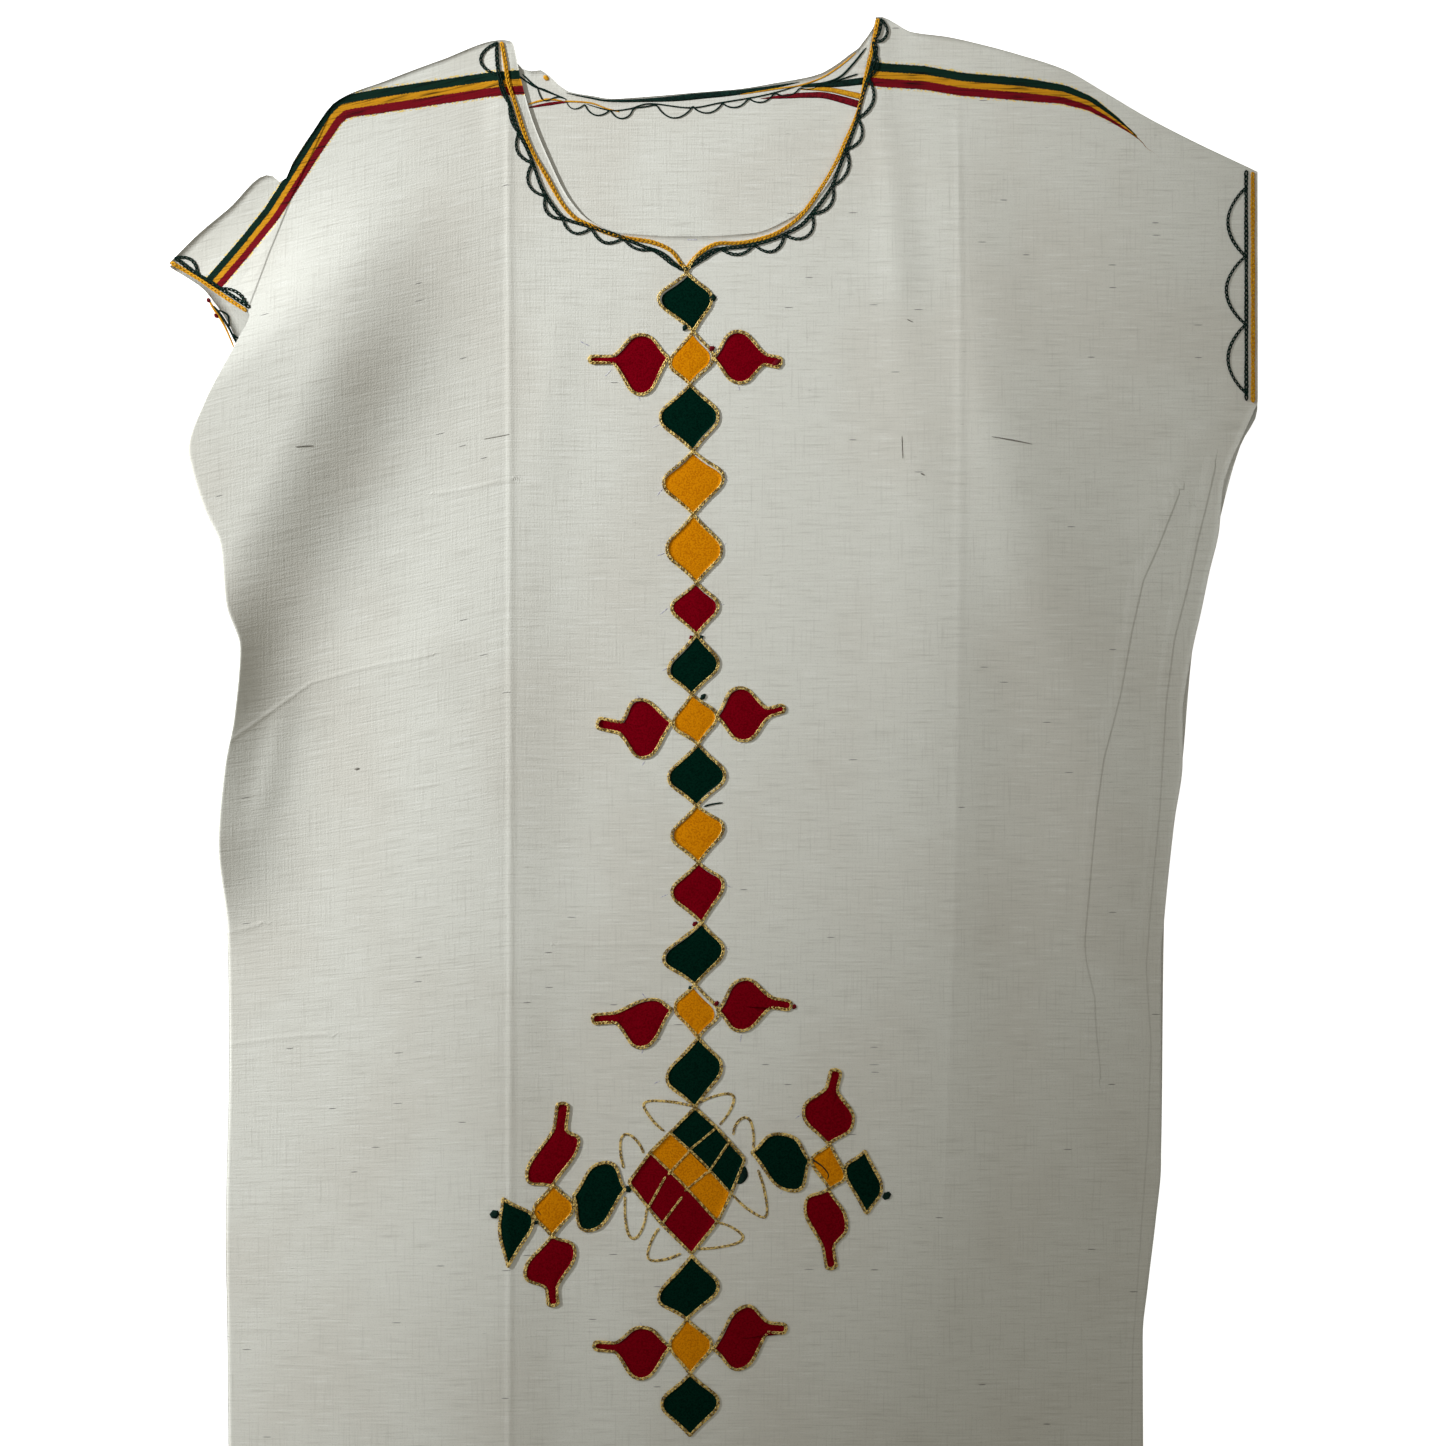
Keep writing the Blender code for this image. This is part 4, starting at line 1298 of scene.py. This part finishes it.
chain_stitch(
    "fine_gold_lines",
    [even_steps(np.array(line, float), LOOP_LINK) for line in MEDALLION_LINES],
    width=1.7, thread=0.75, material=gold_thread, raised=0.9,
)
chain_stitch(
    "gold_loops", [open_loop(*loop) for loop in LOOPS],
    width=1.9, thread=0.85, material=gold_thread,
)

# Each arm of the hem cross ends in a small cross of its own: a yellow middle
# with a green field on each side and a red leaf above and below.
# name, colour, tip, corner, other tip, other corner, bends of its sides
ARMS = (
    ("arm_01_left_green", "green", (37, 682), (56, 671), (72, 687), (60, 705), ROUND_SIDES),
    ("arm_02_left_yellow", "yellow", (84, 677), (73, 687), (84, 704), (93, 696), LOZENGE_SIDES),
    ("arm_03_left_red", "red", (83, 677), (68, 658), (85, 644), (98, 664), LEAF_SIDES),
    ("arm_04_left_red", "red", (83, 704), (69, 714), (83, 739), (94, 724), LEAF_SIDES),
    ("arm_05_left_green", "green", (105, 681), (93, 693), (106, 719), (115, 703), LOZENGE_SIDES),
    ("arm_06_right_green", "green", (-39, 704), (-52, 688), (-70, 708), (-60, 729), ROUND_SIDES),
    ("arm_07_right_yellow", "yellow", (-82, 701), (-70, 715), (-83, 732), (-94, 717), LOZENGE_SIDES),
    ("arm_08_right_red", "red", (-83, 702), (-98, 695), (-78, 668), (-67, 678), LEAF_SIDES),
    ("arm_09_right_red", "red", (-83, 732), (-99, 753), (-83, 763), (-69, 741), LEAF_SIDES),
    ("arm_10_right_green", "green", (-112, 709), (-94, 722), (-109, 750), (-114, 729), LOZENGE_SIDES),
)
# The end of each leaf's tail, and the tail's width
ARM_TAILS = {
    "arm_03_left_red": ((88, 632), 6.4),
    "arm_04_left_red": ((85, 752), 6.0),
    "arm_08_right_red": ((-76, 652), 7.0),
    "arm_09_right_red": ((-82, 774), 6.0),
}
for name, colour, tip, corner, foot, other, bends in ARMS:
    middle = (np.array(tip, float) + corner + foot + other) / 4
    if bends == LEAF_SIDES:
        outline = leaf_outline(tip, corner, foot, other, *ARM_TAILS[name])
    else:
        outline = field_outline(tip, corner, foot, other, bends)
    field_name = name.replace("arm", "arm_field")
    filled_field(field_name, name, colour, drawn_in(outline, middle, FILL_INSET), middle)
    gold_lines.append(np.concatenate([outline, outline[:1]]))

chain_stitch(
    "gold_outlines", [even_steps(line, GOLD_LINK) for line in gold_lines],
    width=2.3, thread=0.95, material=gold_thread, raised=0.45,
)

# Thread ends are left as small knots and tabs beside the fields, and a few
# short ends of green thread lie loose.
KNOTS_GREEN = (
    (((-4.5, 186), (-1.5, 187.5)), (4.4, 4.4), 2.0), (((6, 371.5), (7.4, 374)), (3.6, 3.6), 1.6),
    (((6.6, 407.5), (9, 409.5)), (4.4, 4.4), 1.6), (((-0.6, 582), (1, 584)), (3.4, 3.4), 1.6),
    (((30, 690), (31, 696), (28.5, 701)), (6.0, 7.5, 3.0), 1.2),
    (((-38, 702), (-36, 706)), (3.6, 3.6), 1.6),
    (((-93, 722.5), (-91, 724.5)), (4.4, 4.4), 1.8), (((92, 690), (94, 692)), (4.0, 4.0), 1.6),
    (((-118, 716), (-116, 721)), (5.6, 5.0), 1.8), (((116.5, 706), (119.5, 709.5)), (5.0, 5.4), 1.8),
    (((12, 167), (15, 171)), (4.4, 4.0), 1.4), (((-7, 147), (-4, 149.5)), (1.6, 1.6), 1.2),
    (((8, 474.5), (13, 473), (20, 472)), (1.2, 1.0, 0.9), 1.0),
    (((73, 686), (79, 690), (83, 695), (82, 699)), (1.6, 1.5, 1.4, 1.2), 1.4),
    (((-92, 716), (-89, 719), (-85, 721)), (1.2, 1.1, 1.0), 1.2),
)
KNOTS_RED = (
    (((12, 198), (14, 201)), (4.2, 4.2), 1.8), (((0, 371.5), (1.5, 374)), (3.2, 3.2), 1.4),
    (((2, 543.5), (4, 546)), (3.4, 3.4), 1.6), (((14.5, 591.5), (17, 594)), (3.8, 3.8), 1.6),
    (((51, 206), (53, 209.5)), (7.4, 7.4), 1.9), (((61, 594), (64, 595)), (3.0, 3.0), 1.4),
)
strips("green_knots", KNOTS_GREEN, green_thread)
strips("red_knots", KNOTS_RED, red_thread)

# The maker's pencil ticks still show beside the fields, and the cotton has a
# few dark specks and slubs of its own.
PENCIL = (0.30, 0.28, 0.42)
PENCIL_WORN = (0.62, 0.61, 0.62)
TICK_WIDTH = 0.55
TICK_THICK = 0.18
# place across and down, reach across and down to the tick's other end
TICKS = (
    (-20, 172, 2, -1), (13, 168, 4, 0), (-32, 189, 1, 3), (-31, 227, 1, 4), (-51, 216, 4, -4),
    (29, 221, 1, 4), (-23, 247, 5, -2), (-20, 288, 4, -5), (21, 277, 2, 2), (-20, 324, 5, -2),
    (20, 318, 2, -2), (-18, 359, 5, -4), (18, 353, 3, 0), (-17, 393, 4, -2), (-32, 407, 3, 4),
    (-27, 447, -2, 3), (30, 437, 4, -3), (-18, 529, 5, -2), (21, 521, 4, 2), (20, 488, 2, 0),
    (-18, 568, 3, -1), (21, 559, 3, 1), (-29, 586, 3, 4), (-28, 620, -1, 3), (31, 611, -1, 5),
    (-22, 641, 4, -2), (19, 631, 3, -1), (-30, 784, 2, 4), (63, 662, 4, -3), (54, 707, 2, -2),
    (67, 717, 3, 1), (94, 725, 2, 1), (-67, 679, 3, 0), (-2, 134, 7, 0), (-60, 198, -6, -3),
)
DARK_FIBRE = (0.27, 0.25, 0.22)
DARKEST_FIBRE = (0.18, 0.17, 0.15)
SPECKS = (
    (((-201.5, 452), (-198, 451.5)), (1.6, 1.2), 0.5), (((-235, 260), (-224, 259)), (0.8, 0.6), 0.5),
    (((138, 274.5), (141, 276)), (1.2, 0.8), 0.5), (((127, 252), (127.5, 266)), (0.5, 0.5), 0.4),
    (((180, 253), (192, 255), (205, 257.5)), (0.5, 0.9, 0.5), 0.5),
    (((130, 182), (134, 184)), (0.7, 0.5), 0.4), (((-124, 254), (-108, 251)), (0.4, 0.4), 0.4),
)


def pencil_material():
    """Soft violet pencil that the weave shows through."""
    material, shader = shader_material("violet pencil", (*PENCIL, 1.0), 0.9)
    tree = material.node_tree
    grain = object_noise(tree, 1300.0)
    tone = blend(tree, step(tree, grain, 0.40, 0.62), PENCIL_WORN, PENCIL)
    tree.links.new(tone, shader.inputs["Base Color"])
    return material


tick_rows = [
    (((a, d), (a + right, d + below)), (TICK_WIDTH, TICK_WIDTH), TICK_THICK)
    for a, d, right, below in TICKS
]
strips("pencil_ticks", tick_rows, pencil_material())
dark_fibre = thread_material("dark cotton fibre", DARK_FIBRE, DARKEST_FIBRE, 0.9)
strips("dark_specks", SPECKS, dark_fibre)
